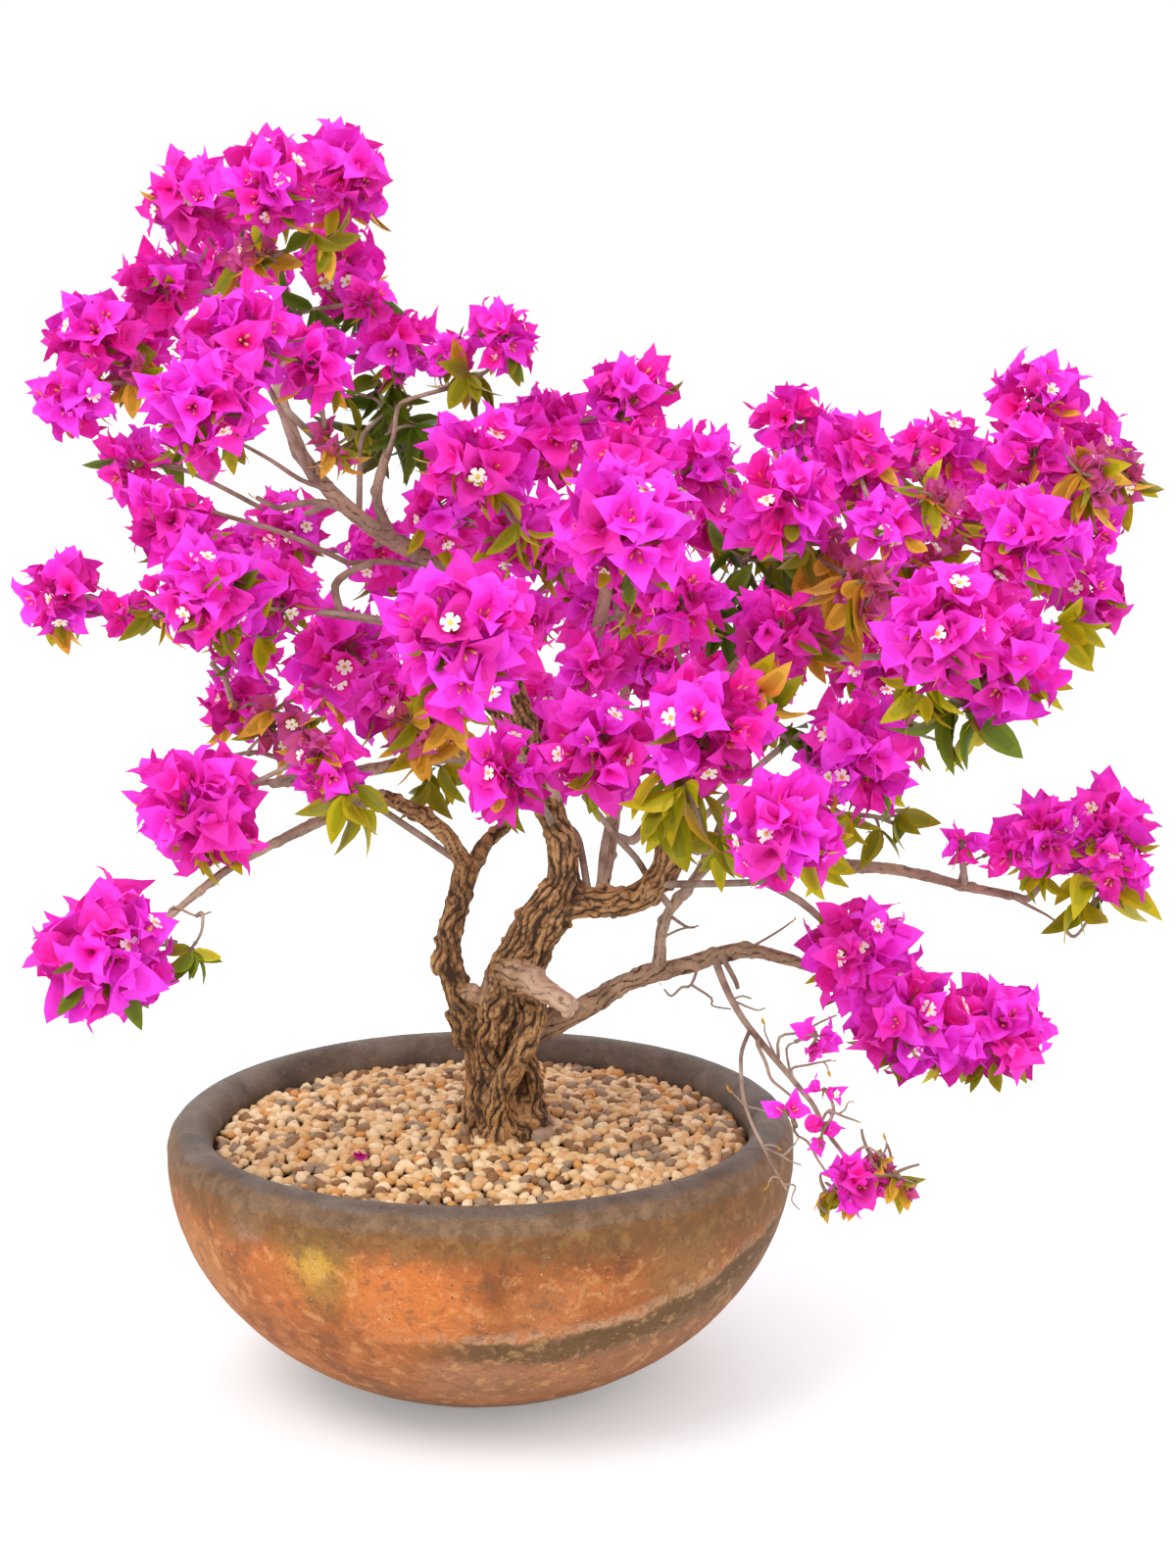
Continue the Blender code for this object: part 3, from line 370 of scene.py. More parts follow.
class Grower:
    # builds one Geometry Nodes tree; its named inputs are set on a modifier by their identifiers
    def __init__(self, name, **inputs):
        self.tree = bpy.data.node_groups.new(name, "GeometryNodeTree")
        face = self.tree.interface
        face.new_socket("Geometry", in_out="INPUT", socket_type="NodeSocketGeometry")
        face.new_socket("Geometry", in_out="OUTPUT", socket_type="NodeSocketGeometry")
        kinds = {float: "Float", int: "Int"}
        self.keys, self.values = {}, inputs
        for key, value in inputs.items():
            kind = kinds.get(type(value), type(value).__name__)
            made = face.new_socket(key, in_out="INPUT", socket_type="NodeSocket" + kind)
            self.keys[key] = made.identifier
        self.source = self.tree.nodes.new("NodeGroupInput")

    def input(self, key):
        return self.source.outputs[key]

    def node(self, kind, settings=None, inputs=None, output=0):
        made = self.tree.nodes.new(kind)
        for key, value in (settings or {}).items():
            setattr(made, key, value)
        for key, value in (inputs or {}).items():
            if isinstance(value, bpy.types.NodeSocket):
                self.tree.links.new(value, made.inputs[key])
            else:
                made.inputs[key].default_value = value
        return made.outputs[output]

    def attribute(self, name, kind):
        return self.node("GeometryNodeInputNamedAttribute", {"data_type": kind}, {"Name": name})

    def math(self, operation, *values):
        return self.node("ShaderNodeMath", {"operation": operation}, dict(enumerate(values)))

    def finish(self, geometry, tone=None, materials=("Material",)):
        # realized and painted, each face by the number of its tone
        geometry = self.node("GeometryNodeRealizeInstances", {}, {"Geometry": geometry})
        for k, key in enumerate(materials):
            inputs = {"Geometry": geometry, "Material": self.input(key)}
            if tone:
                inputs["Selection"] = self.math("COMPARE", tone, float(k), 0.3)
            geometry = self.node("GeometryNodeSetMaterial", {}, inputs)
        out = self.tree.nodes.new("NodeGroupOutput")
        self.tree.links.new(geometry, out.inputs[0])

    def grow(self, source, name):
        modifier = source.modifiers.new("grower", "NODES")
        modifier.node_group = self.tree
        for key, value in self.values.items():
            modifier[self.keys[key]] = value
        return bake(source, name)


def collectionOf(name, shapes):
    # shapes are (points, faces, part of each face); the collection keeps them in order of name
    made = bpy.data.collections.new(name)
    bpy.context.scene.collection.children.link(made)
    for k, (points, faces, parts) in enumerate(shapes):
        shape = meshObject(f"{name}{k:02d}", points, faces)
        shape.data.attributes.new("part", "INT", "FACE").data.foreach_set("value", parts)
        bpy.context.scene.collection.objects.unlink(shape)
        made.objects.link(shape)
    return made


def dropCollection(made):
    for shape in list(made.objects):
        bpy.data.objects.remove(shape)
    bpy.data.collections.remove(made)


class Places:
    # where copies of a shape go: point, turn, size, kind of shape and tone
    def __init__(self):
        self.rows = []

    def add(self, point, turn, size, kind, tone=0):
        self.rows.append((tuple(point), tuple(turn.to_euler()), size, kind, tone))


def onePart(shape):
    return (*shape, [0] * len(shape[1]))


def growCopies(name, places, shapes, paints, parts=1):
    # a copy of one of the shapes at each place, painted by its tone and by the part a face is of
    rows = places.rows
    made = bpy.data.meshes.new(name)
    made.from_pydata([row[0] for row in rows], [], [])
    columns = {"turn": "FLOAT_VECTOR", "size": "FLOAT", "kind": "INT", "tone": "INT"}
    for column, (key, kind) in enumerate(columns.items(), 1):
        layer = made.attributes.new(key, kind, "POINT")
        values = np.array([row[column] for row in rows], np.float32 if kind[0] == "F" else np.int32)
        layer.data.foreach_set("vector" if kind == "FLOAT_VECTOR" else "value", values.ravel())
    source = bpy.data.objects.new(name + "Points", made)
    bpy.context.scene.collection.objects.link(source)
    library = collectionOf(name + "Shape", shapes)
    tones = {f"Tone {k}": paint.material for k, paint in enumerate(paints)}
    grower = Grower(name + "Tree", Size=1.0, Shapes=library, **tones)
    inputs = {"Collection": grower.input("Shapes"), "Separate Children": True, "Reset Children": True}
    copies = grower.node("GeometryNodeCollectionInfo", {}, inputs)
    size = grower.math("MULTIPLY", grower.attribute("size", "FLOAT"), grower.input("Size"))
    spread = grower.node("GeometryNodeInstanceOnPoints", {}, {
        "Points": grower.input("Geometry"), "Instance": copies, "Pick Instance": True,
        "Instance Index": grower.attribute("kind", "INT"),
        "Rotation": grower.attribute("turn", "FLOAT_VECTOR"), "Scale": size})
    tone, part = (grower.attribute(key, "INT") for key in ("tone", "part"))
    grower.finish(spread, grower.math("MULTIPLY_ADD", tone, float(parts), part), list(tones))
    piece = grower.grow(source, name)
    for key in (*columns, "part"):
        if key in piece.data.attributes:
            piece.data.attributes.remove(piece.data.attributes[key])
    dropCollection(library)
    return piece


def growTubes(name, lines, sides, paint):
    # lines are (path, radii); each becomes a closed tube
    curve = bpy.data.curves.new(name, "CURVE")
    curve.dimensions = "3D"
    for path, radii in lines:
        spline = curve.splines.new("POLY")
        spline.points.add(len(path) - 1)
        spline.points.foreach_set("co", [c for p in path for c in (*p, 1)])
        spline.points.foreach_set("radius", radii)
    source = bpy.data.objects.new(name + "Lines", curve)
    bpy.context.scene.collection.objects.link(source)
    grower = Grower(name + "Tree", Sides=sides, Thickness=1.0, Material=paint.material)
    ring = grower.node("GeometryNodeCurvePrimitiveCircle", {}, {
        "Resolution": grower.input("Sides"), "Radius": grower.input("Thickness")})
    tube = grower.node("GeometryNodeCurveToMesh", {}, {
        "Curve": grower.input("Geometry"), "Profile Curve": ring, "Fill Caps": True,
        "Scale": grower.node("GeometryNodeInputRadius")})
    smooth = grower.node("GeometryNodeSetShadeSmooth", {}, {"Geometry": tube})
    grower.finish(smooth)
    return grower.grow(source, name)


# Limbs and their bark

wood = {
    "perSpan": 8, "sides": 20, "smoothing": 2,
    "flareSpread": 0.55, "flareHeight": 0.035, "rootRidges": 5, "rootDepth": 0.24,
    "collar": 0.22, "collarLength": 0.012,  # a side limb swells where it leaves its parent
    "sunk": 0.022,  # how far the trunk's foot goes into the gravel
    "overlap": 0.003,  # how far a limb that carries another on reaches back into it
    "strandWidth": 0.0088, "twist": 42.0,  # width of the twisted strands, and radians a metre
    "swirl": 4.2, "swirlSize": 0.017,  # how far the strands wander, in radians
    "wanderSize": 0.0055, "fibreSize": 0.004, "fibreCount": 2.6, "fibreDepth": 0.0006,
    "strandDepth": 0.0042, "fineDepth": 0.0003, "fineSize": 0.0024,
    "cutDepth": 0.0007, "cutSize": 0.0042, "cutFrom": 0.82, "cutSpan": 0.18,  # short cuts across
    "lumps": 0.12, "lumpSize": 0.022, "knobs": 0.009, "knobSize": 0.011, "knobFrom": 0.22,
    "smoothBark": 0.16,  # relief left on bark that isn't furrowed
    "fullRadius": 0.020,  # a limb this thick has the relief's whole depth
    # where limbs meet, their bark blends; reach is in radii round a limb
    "joinBlend": 0.0018, "reach": 2.2, "leastShare": 0.002,
    "gnarledVoxel": 0.0014, "youngVoxel": 0.0013,
}

# short pieces of old wood round the trunk's foot: radii, how furrowed, points
oldWood = {
    "frontRoot": ((10.5, 9), 0.85, [
        (12, -26, 222), (18, -33, 248), (33, -37, 280), (45, -32, 312), (44, -22, 336)]),
    "stubBase": ((9, 11), 0.5, [(20, -28, 348), (34, -46, 351), (48, -62, 347)]),
    "knob": ((6.5, 8), 0.5, [(2, -14, 318), (-4, -22, 326), (-8, -27, 331)]),
    "backStub": ((7, 5.5), 0.6, [(40, 8, 292), (62, 24, 300), (74, 30, 305)]),
    "footRoot": ((9, 6), 1.0, [(35, -6, 202), (44, -14, 238), (42, -20, 262), (34, -16, 290)]),
    "leftBurl": ((8, 7), 0.8, [(-14, -10, 282), (-17, -17, 296), (-22, -18, 312)]),
    "stemBurl": ((7.5, 6), 0.8, [(-31, -14, 345), (-33, -18, 352), (-31, -17, 362)]),
    "forkBurl": ((8, 7), 0.8, [(140, -46, 420), (150, -52, 428), (158, -50, 444)]),
}
bareTwigs = {  # parent, radii at the two ends, points in millimetres
    "droop": ("low_right_bough", (3.6, 1.5), [
        (186, -42, 353), (199, -66, 342), (211, -90, 324), (227, -113, 308), (241, -137, 296),
        (253, -161, 286), (259, -185, 283), (267, -208, 270), (281, -232, 255), (287, -256, 245)]),
    "stub": ("low_right_bough", (2.6, 2), [(193, -42, 351), (206, -51, 347), (208, -60, 342)]),
    "hookA": ("low_right_bough", (1.6, 0.9), [
        (181, -34, 344), (172, -35, 338), (164, -36, 336), (156, -37, 329), (150, -38, 335)]),
    "hookB": ("hookA", (1.3, 0.7), [
        (175, -36, 340), (188, -39, 328), (189, -41, 322), (204, -44, 320)]),
    "spurA": ("droop", (1.1, 0.8), [(203, -74, 343), (210, -82, 341), (217, -90, 341)]),
    "spurB": ("droop", (1.1, 0.7), [(205, -84, 341), (220, -94, 333), (227, -104, 337)]),
    "hang": ("droop", (1.9, 0.9), [
        (209, -112, 327), (208, -124, 308), (207, -136, 295), (208, -148, 278), (214, -160, 261),
        (222, -172, 247), (231, -184, 231), (239, -196, 220)]),
    "hangA": ("hang", (0.9, 0.6), [(208, -160, 277), (204, -155, 279), (200, -150, 282)]),
    "hangB": ("hang", (0.9, 0.6), [(209, -162, 277), (218, -171, 276), (225, -180, 276)]),
    "hangC": ("hang", (0.9, 0.6), [(221, -175, 250), (227, -182, 251), (232, -190, 252)]),
    "hangD": ("hang", (1, 0.6), [
        (223, -178, 248), (235, -185, 244), (240, -193, 250), (245, -200, 259)]),
    "hangE": ("hangD", (0.8, 0.6), [(235, -186, 245), (241, -193, 242), (249, -200, 241)]),
    "hangF": ("hang", (0.8, 0.7), [(230, -194, 234), (228, -195, 230), (225, -196, 226)]),
    "hangG": ("hang", (0.8, 0.6), [
        (237, -196, 225), (245, -199, 224), (242, -201, 214), (248, -204, 207)]),
    "sideA": ("droop", (1.4, 0.8), [
        (224, -144, 319), (235, -152, 327), (251, -160, 333), (264, -168, 343), (276, -176, 351)]),
    "sideB": ("droop", (1, 0.6), [(225, -142, 320), (225, -144, 327), (224, -146, 335)]),
    "sideC": ("droop", (1.2, 0.8), [(231, -160, 311), (239, -171, 323), (245, -182, 332)]),
    "sideD": ("droop", (1.3, 0.8), [
        (235, -170, 309), (242, -181, 310), (253, -193, 317), (270, -204, 324)]),
    "sideE": ("sideD", (0.8, 0.6), [(267, -200, 322), (267, -201, 319), (268, -202, 316)]),
    "second": ("droop", (2, 1), [
        (211, -118, 327), (220, -134, 315), (225, -149, 306), (228, -165, 298), (235, -180, 295),
        (242, -196, 293)]),
    "sideF": ("droop", (1.4, 0.8), [
        (256, -222, 295), (266, -231, 293), (276, -241, 292), (286, -250, 291)]),
    "sideG": ("sideF", (0.9, 0.6), [
        (274, -238, 290), (277, -241, 297), (279, -243, 303), (283, -246, 305)]),
    "sideH": ("second", (1.2, 1), [
        (242, -198, 293), (243, -208, 270), (252, -217, 265), (259, -226, 254), (265, -236, 247)]),
    "sideI": ("droop", (1.2, 0.8), [
        (271, -244, 276), (290, -251, 272), (301, -259, 269), (304, -266, 265)]),
    "sideJ": ("droop", (1.1, 0.6), [
        (286, -256, 259), (306, -261, 255), (318, -265, 252), (328, -270, 250)]),
    "sideK": ("sideI", (0.9, 0.6), [(301, -262, 270), (305, -264, 275), (305, -266, 281)]),
    "thinUp": ("low_right_bough", (1.2, 0.8), [(225, -22, 366), (240, -31, 380), (253, -40, 392)]),
    "brownStem": ("low_riser", (3.2, 2.4), [
        (153, -8, 396), (148, -18, 408), (137, -27, 425), (127, -37, 443), (112, -47, 461),
        (98, -56, 481), (85, -66, 499)]),
    "greyStemA": ("right_fork", (3.4, 2.4), [
        (90, -18, 421), (83, -4, 442), (79, 11, 453), (70, 26, 461), (63, 40, 489)]),
    "greyStemB": ("right_fork", (3.9, 3), [
        (102, -14, 418), (101, -3, 439), (105, 8, 459), (109, 19, 483), (111, 30, 508)]),
    "greyStemC": ("back_bough", (4.6, 3.4), [
        (110, 40, 423), (125, 53, 439), (135, 67, 447), (151, 80, 470)]),
    "riserTwigA": ("low_riser", (1.6, 0.8), [
        (156, -8, 388), (167, -14, 382), (173, -20, 382), (178, -26, 385)]),
    "riserTwigB": ("low_riser", (1.5, 0.9), [(153, -8, 370), (161, -14, 378), (170, -20, 382)]),
    "riserArm": ("low_riser", (2.8, 1.8), [
        (161, -8, 402), (174, -14, 417), (187, -19, 432), (198, -24, 443), (208, -30, 462)]),
    "lowArm": ("right_fork", (4.4, 2.8), [
        (159, -45, 468), (179, -48, 459), (198, -50, 445), (225, -52, 429), (257, -55, 412),
        (281, -58, 390), (293, -60, 368)]),
    "leftDark": ("upper_left_bough", (3, 1.8), [
        (-30, 25, 665), (-69, 11, 676), (-99, -3, 676), (-110, -18, 682), (-149, -32, 702),
        (-183, -46, 714), (-215, -60, 725)]),
    "leftShort": ("upper_left_bough", (3.6, 2), [
        (-105, 0, 712), (-122, -10, 725), (-143, -20, 724), (-155, -30, 722), (-170, -40, 731)]),
    "leftThin": ("left_limb", (2.8, 1.8), [
        (-53, 0, 624), (-65, -28, 632), (-107, -55, 642), (-154, -82, 648), (-181, -110, 658)]),
    "leftLink": ("left_limb", (3.6, 2.8), [
        (-126, -10, 650), (-112, -20, 660), (-97, -30, 673), (-82, -40, 679)]),
    "downA": ("left_limb", (3.4, 2.4), [
        (-206, -40, 629), (-203, -47, 608), (-196, -53, 590), (-191, -60, 573)]),
    "topTwigA": ("upper_left_bough", (2.4, 1.4), [
        (-121, -10, 731), (-137, -27, 744), (-158, -43, 760), (-179, -60, 774)]),
    "topTwigB": ("upper_left_bough", (3.4, 2), [
        (-122, -12, 735), (-129, -24, 746), (-138, -35, 768), (-146, -47, 791), (-155, -58, 813),
        (-164, -70, 835)]),
    "combTwig": ("high_bough", (2.4, 1.3), [
        (-75, 28, 756), (-67, 22, 776), (-63, 16, 798), (-51, 10, 806), (-9, 4, 818), (14, -2, 832),
        (24, -8, 848)]),
    "combBack": ("upper_left_bough", (2.6, 1.6), [
        (-86, 20, 733), (-95, 30, 752), (-93, 40, 776), (-77, 50, 791), (-66, 60, 796)]),
    "combSide": ("high_bough", (1.6, 1), [
        (-66, 40, 787), (-82, 50, 803), (-98, 60, 808), (-115, 70, 811)]),
    "lonelyTwig": ("long_left_limb", (1.5, 0.9), [
        (-238, -160, 418), (-223, -168, 433), (-205, -177, 428), (-193, -185, 433)]),
    "lonelyLeafTwig": ("long_left_limb", (1.6, 1), [
        (-237, -175, 407), (-230, -162, 399), (-224, -150, 392)]),
    "parallelA": ("left_stem", (3.4, 2.2), [
        (-74, -10, 489), (-108, -25, 500), (-138, -40, 507), (-173, -55, 507), (-191, -70, 505)]),
    "parallelB": ("left_arm", (2.6, 1.6), [
        (-122, -40, 507), (-151, -53, 525), (-171, -67, 534), (-186, -80, 534)]),
    "midTwigA": ("centre_bough", (2.8, 1.8), [
        (107, -8, 625), (136, 9, 636), (155, 26, 613), (169, 43, 579), (175, 60, 544)]),
    "midTwigB": ("right_bough", (2.8, 1.8), [
        (241, -10, 616), (256, -22, 627), (270, -35, 639), (290, -48, 638), (305, -60, 632)]),
    "midTwigC": ("right_bough", (3.2, 2), [
        (282, 10, 607), (248, 20, 582), (225, 30, 560), (211, 40, 539)]),
    "backPale": ("main_stem", (3, 2), [(25, 20, 622), (45, 33, 646), (68, 47, 663), (97, 60, 682)]),
    "farRight": ("right_low_limb", (1.8, 0.8), [
        (428, -28, 412), (445, -32, 402), (459, -36, 395), (470, -40, 387)]),
    "farRightB": ("right_low_limb", (1.5, 0.9), [(387, -10, 420), (393, -20, 433), (406, -30, 443)]),
    "tipTwig": ("right_far_bough", (2, 1.2), [
        (468, 10, 726), (489, 17, 741), (505, 23, 750), (524, 30, 753)]),
}
gnarledLimbs = ["trunk", "left_stem", "left_arm", "left_inner_arm", "sawn_stub", "main_stem",
                "right_fork", "low_right_bough"]


def limbCurve(name):
    points = oldWood[name][2] if name in oldWood else limbs[name][4]
    return smoothCurve([Vector(p) * mm for p in points], wood["perSpan"])


def evenly(base, tip, path):
    return [base + (tip - base) * i / (len(path) - 1) for i in range(len(path))]


def arcLengths(path):
    lengths = [0.0]
    for a, b in zip(path, path[1:]):
        lengths.append(lengths[-1] + (b - a).length)
    return lengths


def tube(path, radii, sides, section=None):
    points, faces = [], []
    for centre, radius, length, (_, u, v) in zip(path, radii, arcLengths(path), framesAlong(path)):
        for k in range(sides):
            angle = 2 * math.pi * k / sides
            swell = section(length, angle) if section else 1
            points.append(centre + radius * swell * (math.cos(angle) * u + math.sin(angle) * v))
    for i in range(len(path) - 1):
        for k in range(sides):
            a, b = i * sides + k, i * sides + (k + 1) % sides
            faces.append((a, b, b + sides, a + sides))
    faces.append(tuple(reversed(range(sides))))
    faces.append(tuple(range(len(points) - sides, len(points))))
    return points, faces


def trunkSection(length, angle):
    # the foot spreads into roots
    near = math.exp(-max(length - wood["sunk"], 0) / wood["flareHeight"])
    ridge = wood["rootDepth"] * math.cos(wood["rootRidges"] * angle + 0.6)
    return 1 + near * (wood["flareSpread"] + ridge)


def collarSection(length, _):
    return 1 + wood["collar"] * math.exp(-(length / wood["collarLength"]) ** 2)


def woodOf(name):
    # path, radii, section and furrowing of a limb or of a piece of old wood
    path = limbCurve(name)
    _, joins, ends, furrowed, _ = limbs[name] if name in limbs else ("", "", *oldWood[name])
    radii = [radius * mm for radius in evenly(*ends, path)]
    if joins in ("ground", "tip"):
        # its foot goes on into the gravel, or back into the limb before it
        back = (path[1] - path[0]).normalized() * wood["overlap"]
        if joins == "ground":
            back = Vector((0, 0, wood["sunk"]))
        path, radii = [path[0] - back] + path, [radii[0]] + radii
    return path, radii, {"side": collarSection, "ground": trunkSection}.get(joins), furrowed


def nearestOnPath(places, path, radii):
    # for each place: distance to the path, radius there, length along, and its angle round the path
    a = np.array([tuple(p) for p in path])
    frames = framesAlong(path)
    u, v = (np.array([tuple(f[k]) for f in frames]) for k in (1, 2))
    lengths = np.array(arcLengths(path))
    radii = np.array(radii)
    steps = a[1:] - a[:-1]
    off = places[:, None, :] - a[None, :-1, :]
    t = np.clip((off * steps).sum(-1) / (steps ** 2).sum(-1), 0, 1)
    away = off - t[..., None] * steps
    distance = np.sqrt((away ** 2).sum(-1))
    best = distance.argmin(1)
    rows = np.arange(len(places))
    share = t[rows, best]
    away = away[rows, best]
    mixed = [grid[best] * (1 - share)[:, None] + grid[best + 1] * share[:, None] for grid in (u, v)]
    angle = np.arctan2((away * mixed[1]).sum(1), (away * mixed[0]).sum(1))
    along = lengths[best] + share * (lengths[best + 1] - lengths[best])
    return distance[rows, best], radii[best] * (1 - share) + radii[best + 1] * share, along, angle


def barkAt(place, radius, along, angle, which, strands, furrowed):
    # how far the bark stands out here, and how deep in a furrow it is
    slow = Vector((place.x, place.y, place.z * 0.7))
    wander = wood["swirl"] * noise.noise(slow / wood["swirlSize"])
    wander += 0.5 * noise.noise(place / wood["wanderSize"])
    phase = 0.5 * strands * angle + wood["twist"] * along + wander
    strand = abs(math.sin(phase)) ** 0.5
    fibre = abs(math.sin(wood["fibreCount"] * phase + 1.5 * noise.noise(place / wood["fibreSize"])))
    q = Vector((math.cos(angle) * radius, math.sin(angle) * radius, 0.35 * along + 0.3 * which))
    q = q / wood["cutSize"]
    cut = 1 - abs(noise.noise(q + 0.6 * noise.noise_vector(q * 0.7)))
    cut = max(cut - wood["cutFrom"], 0) / wood["cutSpan"]
    lump = noise.noise(place / wood["lumpSize"] + Vector((which, 0, 0)))
    fine = noise.noise(place / wood["fineSize"])
    knob = max(noise.noise(place / wood["knobSize"]) - wood["knobFrom"], 0)
    strength = wood["smoothBark"] + (1 - wood["smoothBark"]) * furrowed
    depth = strength * math.sqrt(radius / wood["fullRadius"])
    height = depth * (wood["strandDepth"] * (strand - 0.8) - wood["cutDepth"] * cut)
    height += radius * wood["lumps"] * lump
    height += wood["fineDepth"] * (0.4 + 0.6 * strength) * fine + depth * wood["fibreDepth"] * fibre
    height += wood["knobs"] * strength * knob
    hollow = 1.5 * max(0.62 - strand, 0) + 0.30 * (1 - strand) + 0.16 * (1 - fibre) + 0.45 * cut
    return height, min(strength * hollow + 0.10 * max(-fine, 0), 1.0)


def buildWood(name, names, voxel, paint):
    points, faces = [], []
    for part in names:
        path, radii, section, _ = woodOf(part)
        tubePoints, tubeFaces = tube(path, radii, wood["sides"], section)
        faces += [tuple(i + len(points) for i in face) for face in tubeFaces]
        points += tubePoints
    source = meshObject(name + "Tubes", points, faces)
    union = source.modifiers.new("union", "REMESH")
    union.mode = "VOXEL"
    union.voxel_size = voxel
    smooth = source.modifiers.new("smooth", "SMOOTH")
    smooth.factor = 0.5
    smooth.iterations = wood["smoothing"]
    piece = bake(source, name)
    mesh = piece.data
    count = len(mesh.vertices)
    places, normals = np.empty(count * 3, np.float32), np.empty(count * 3, np.float32)
    mesh.vertices.foreach_get("co", places)
    mesh.vertex_normals.foreach_get("vector", normals)
    places, normals = places.reshape(-1, 3), normals.reshape(-1, 3)
    height, hollow, age, total = (np.zeros(count) for _ in range(4))
    for which, part in enumerate(names):
        path, radii, _, furrowed = woodOf(part)
        strands = max(4, round(2 * math.pi * sum(radii) / len(radii) / wood["strandWidth"]))
        spine, reach = [tuple(p) for p in path], wood["reach"] * max(radii)
        low, high = np.min(spine, 0) - reach, np.max(spine, 0) + reach
        inside = np.flatnonzero(((places > low) & (places < high)).all(1))
        if not len(inside):
            continue
        distance, radius, along, angle = nearestOnPath(places[inside], path, radii)
        weight = np.exp(-np.maximum(distance - radius, -0.3 * radius) / wood["joinBlend"])
        for k in np.flatnonzero(weight > wood["leastShare"]):
            i = inside[k]
            at = Vector(places[i])
            out, deep = barkAt(at, radius[k], along[k], angle[k], which, strands, furrowed)
            height[i] += weight[k] * out
            hollow[i] += weight[k] * deep
            age[i] += weight[k] * furrowed
            total[i] += weight[k]
    total = np.maximum(total, 1e-9)
    moved = places + normals * (height / total)[:, None]
    mesh.vertices.foreach_set("co", moved.astype(np.float32).ravel())
    for key, values in (("hollow", hollow / total), ("age", age / total)):
        mesh.attributes.new(key, "FLOAT", "POINT").data.foreach_set("value", values.astype(np.float32))
    mesh.update()
    mesh.shade_smooth()
    mesh.materials.clear()
    mesh.materials.append(paint.material)
    return piece


# the bark's colours: two ramps of place and colour, and what is laid over them
barkColours = {
    "old": [(0.30, (0.095, 0.042, 0.016)), (0.50, (0.32, 0.145, 0.045)), (0.68, (0.54, 0.30, 0.12))],
    "young": [(0.28, (0.24, 0.16, 0.115)), (0.50, (0.43, 0.30, 0.215)), (0.72, (0.62, 0.43, 0.29))],
    # the crest colour is a painted highlight on the bark's ridges
    "darkPatch": (0.070, 0.031, 0.012), "crestHighlight": (0.66, 0.37, 0.14),
    "paleGrain": (0.56, 0.40, 0.25), "darkGrain": (0.10, 0.06, 0.04),
    # the furrow colour and the one after it are painted shade in the bark's hollows
    "furrow": (0.024, 0.011, 0.005), "hollowShade": (0.075, 0.038, 0.020),
}
# the sawn stub is bare, pale wood with dark knots: middle, radius, strength and colour of each patch
stubPatches = [
    ((0.074, -0.090, 0.338), 0.026, 0.85, (0.66, 0.44, 0.31)),
    ((0.052, -0.066, 0.345), 0.024, 0.75, (0.60, 0.39, 0.27)),
    ((0.000, -0.024, 0.330), 0.012, 0.65, (0.58, 0.36, 0.23)),
    ((0.080, -0.101, 0.336), 0.0042, 0.85, (0.16, 0.07, 0.035)),
    ((0.066, -0.093, 0.342), 0.0036, 0.80, (0.20, 0.09, 0.045)),
    ((0.087, -0.097, 0.331), 0.0034, 0.85, (0.14, 0.06, 0.03)),
    ((0.060, -0.084, 0.350), 0.0070, 0.50, (0.34, 0.19, 0.12)),
    ((0.046, -0.070, 0.341), 0.0040, 0.80, (0.16, 0.07, 0.035)),
    ((0.034, -0.043, 0.300), 0.0050, 0.75, (0.10, 0.045, 0.02)),
]


def barkPaint():
    paint = Paint("bark", (0.24, 0.15, 0.09), 0.85, Specular_IOR_Level=0.3)
    hollow = paint.node("ShaderNodeAttribute", {"attribute_name": "hollow"}, output="Fac")
    age = paint.node("ShaderNodeAttribute", {"attribute_name": "age"}, output="Fac")
    patches = paint.noise(0.030, 4)
    grain = paint.noise(0.0035, 4)
    old, young = (paint.ramp(patches, *barkColours[key]) for key in ("old", "young"))
    colour = paint.mix(paint.step(age, 0.25, 0.75), young, old)
    dark = paint.step(paint.noise(0.013, 3), 0.54, 0.66) * paint.step(age, 0.2, 0.7)
    # painted highlight along the ridge crests of the old bark
    crestHighlight = paint.step(hollow, 0.14, 0.03) * paint.step(age, 0.3, 0.8)
    # the layers end with painted shade in the furrows
    colour = paint.layers(
        colour, (dark * 0.55, barkColours["darkPatch"]), (crestHighlight * 0.58, barkColours["crestHighlight"]),
        (paint.step(grain, 0.40, 0.72) * 0.30, barkColours["paleGrain"]),
        (paint.step(grain, 0.42, 0.25) * 0.35, barkColours["darkGrain"]),
        (paint.step(hollow, 0.10, 0.62) * 0.95, barkColours["furrow"]))
    colour = paint.patches(colour, stubPatches, lambda radius: (patches - 0.5) * 0.5 * radius, 0.6)
    # painted shade in the hollows again, laid over the stub's pale patches
    colour = paint.mix(paint.step(hollow, 0.22, 0.75) * 0.6, colour, barkColours["hollowShade"])
    paint.set(Base_Color=colour, Roughness=0.66 + 0.25 * grain)
    paint.relief(grain + 0.6 * paint.noise(0.0012, 2), 0.0007, 0.7)
    return paint


print("wood")
bark = barkPaint()
gnarledWood = buildWood("gnarledWood", gnarledLimbs + list(oldWood), wood["gnarledVoxel"], bark)
settle(gnarledWood, "bark", *gnarledLimbs)
youngLimbs = [name for name in limbs if name not in gnarledLimbs]
youngWood = buildWood("youngWood", youngLimbs, wood["youngVoxel"], bark)
settle(youngWood, "bark", *youngLimbs)


# The bowl

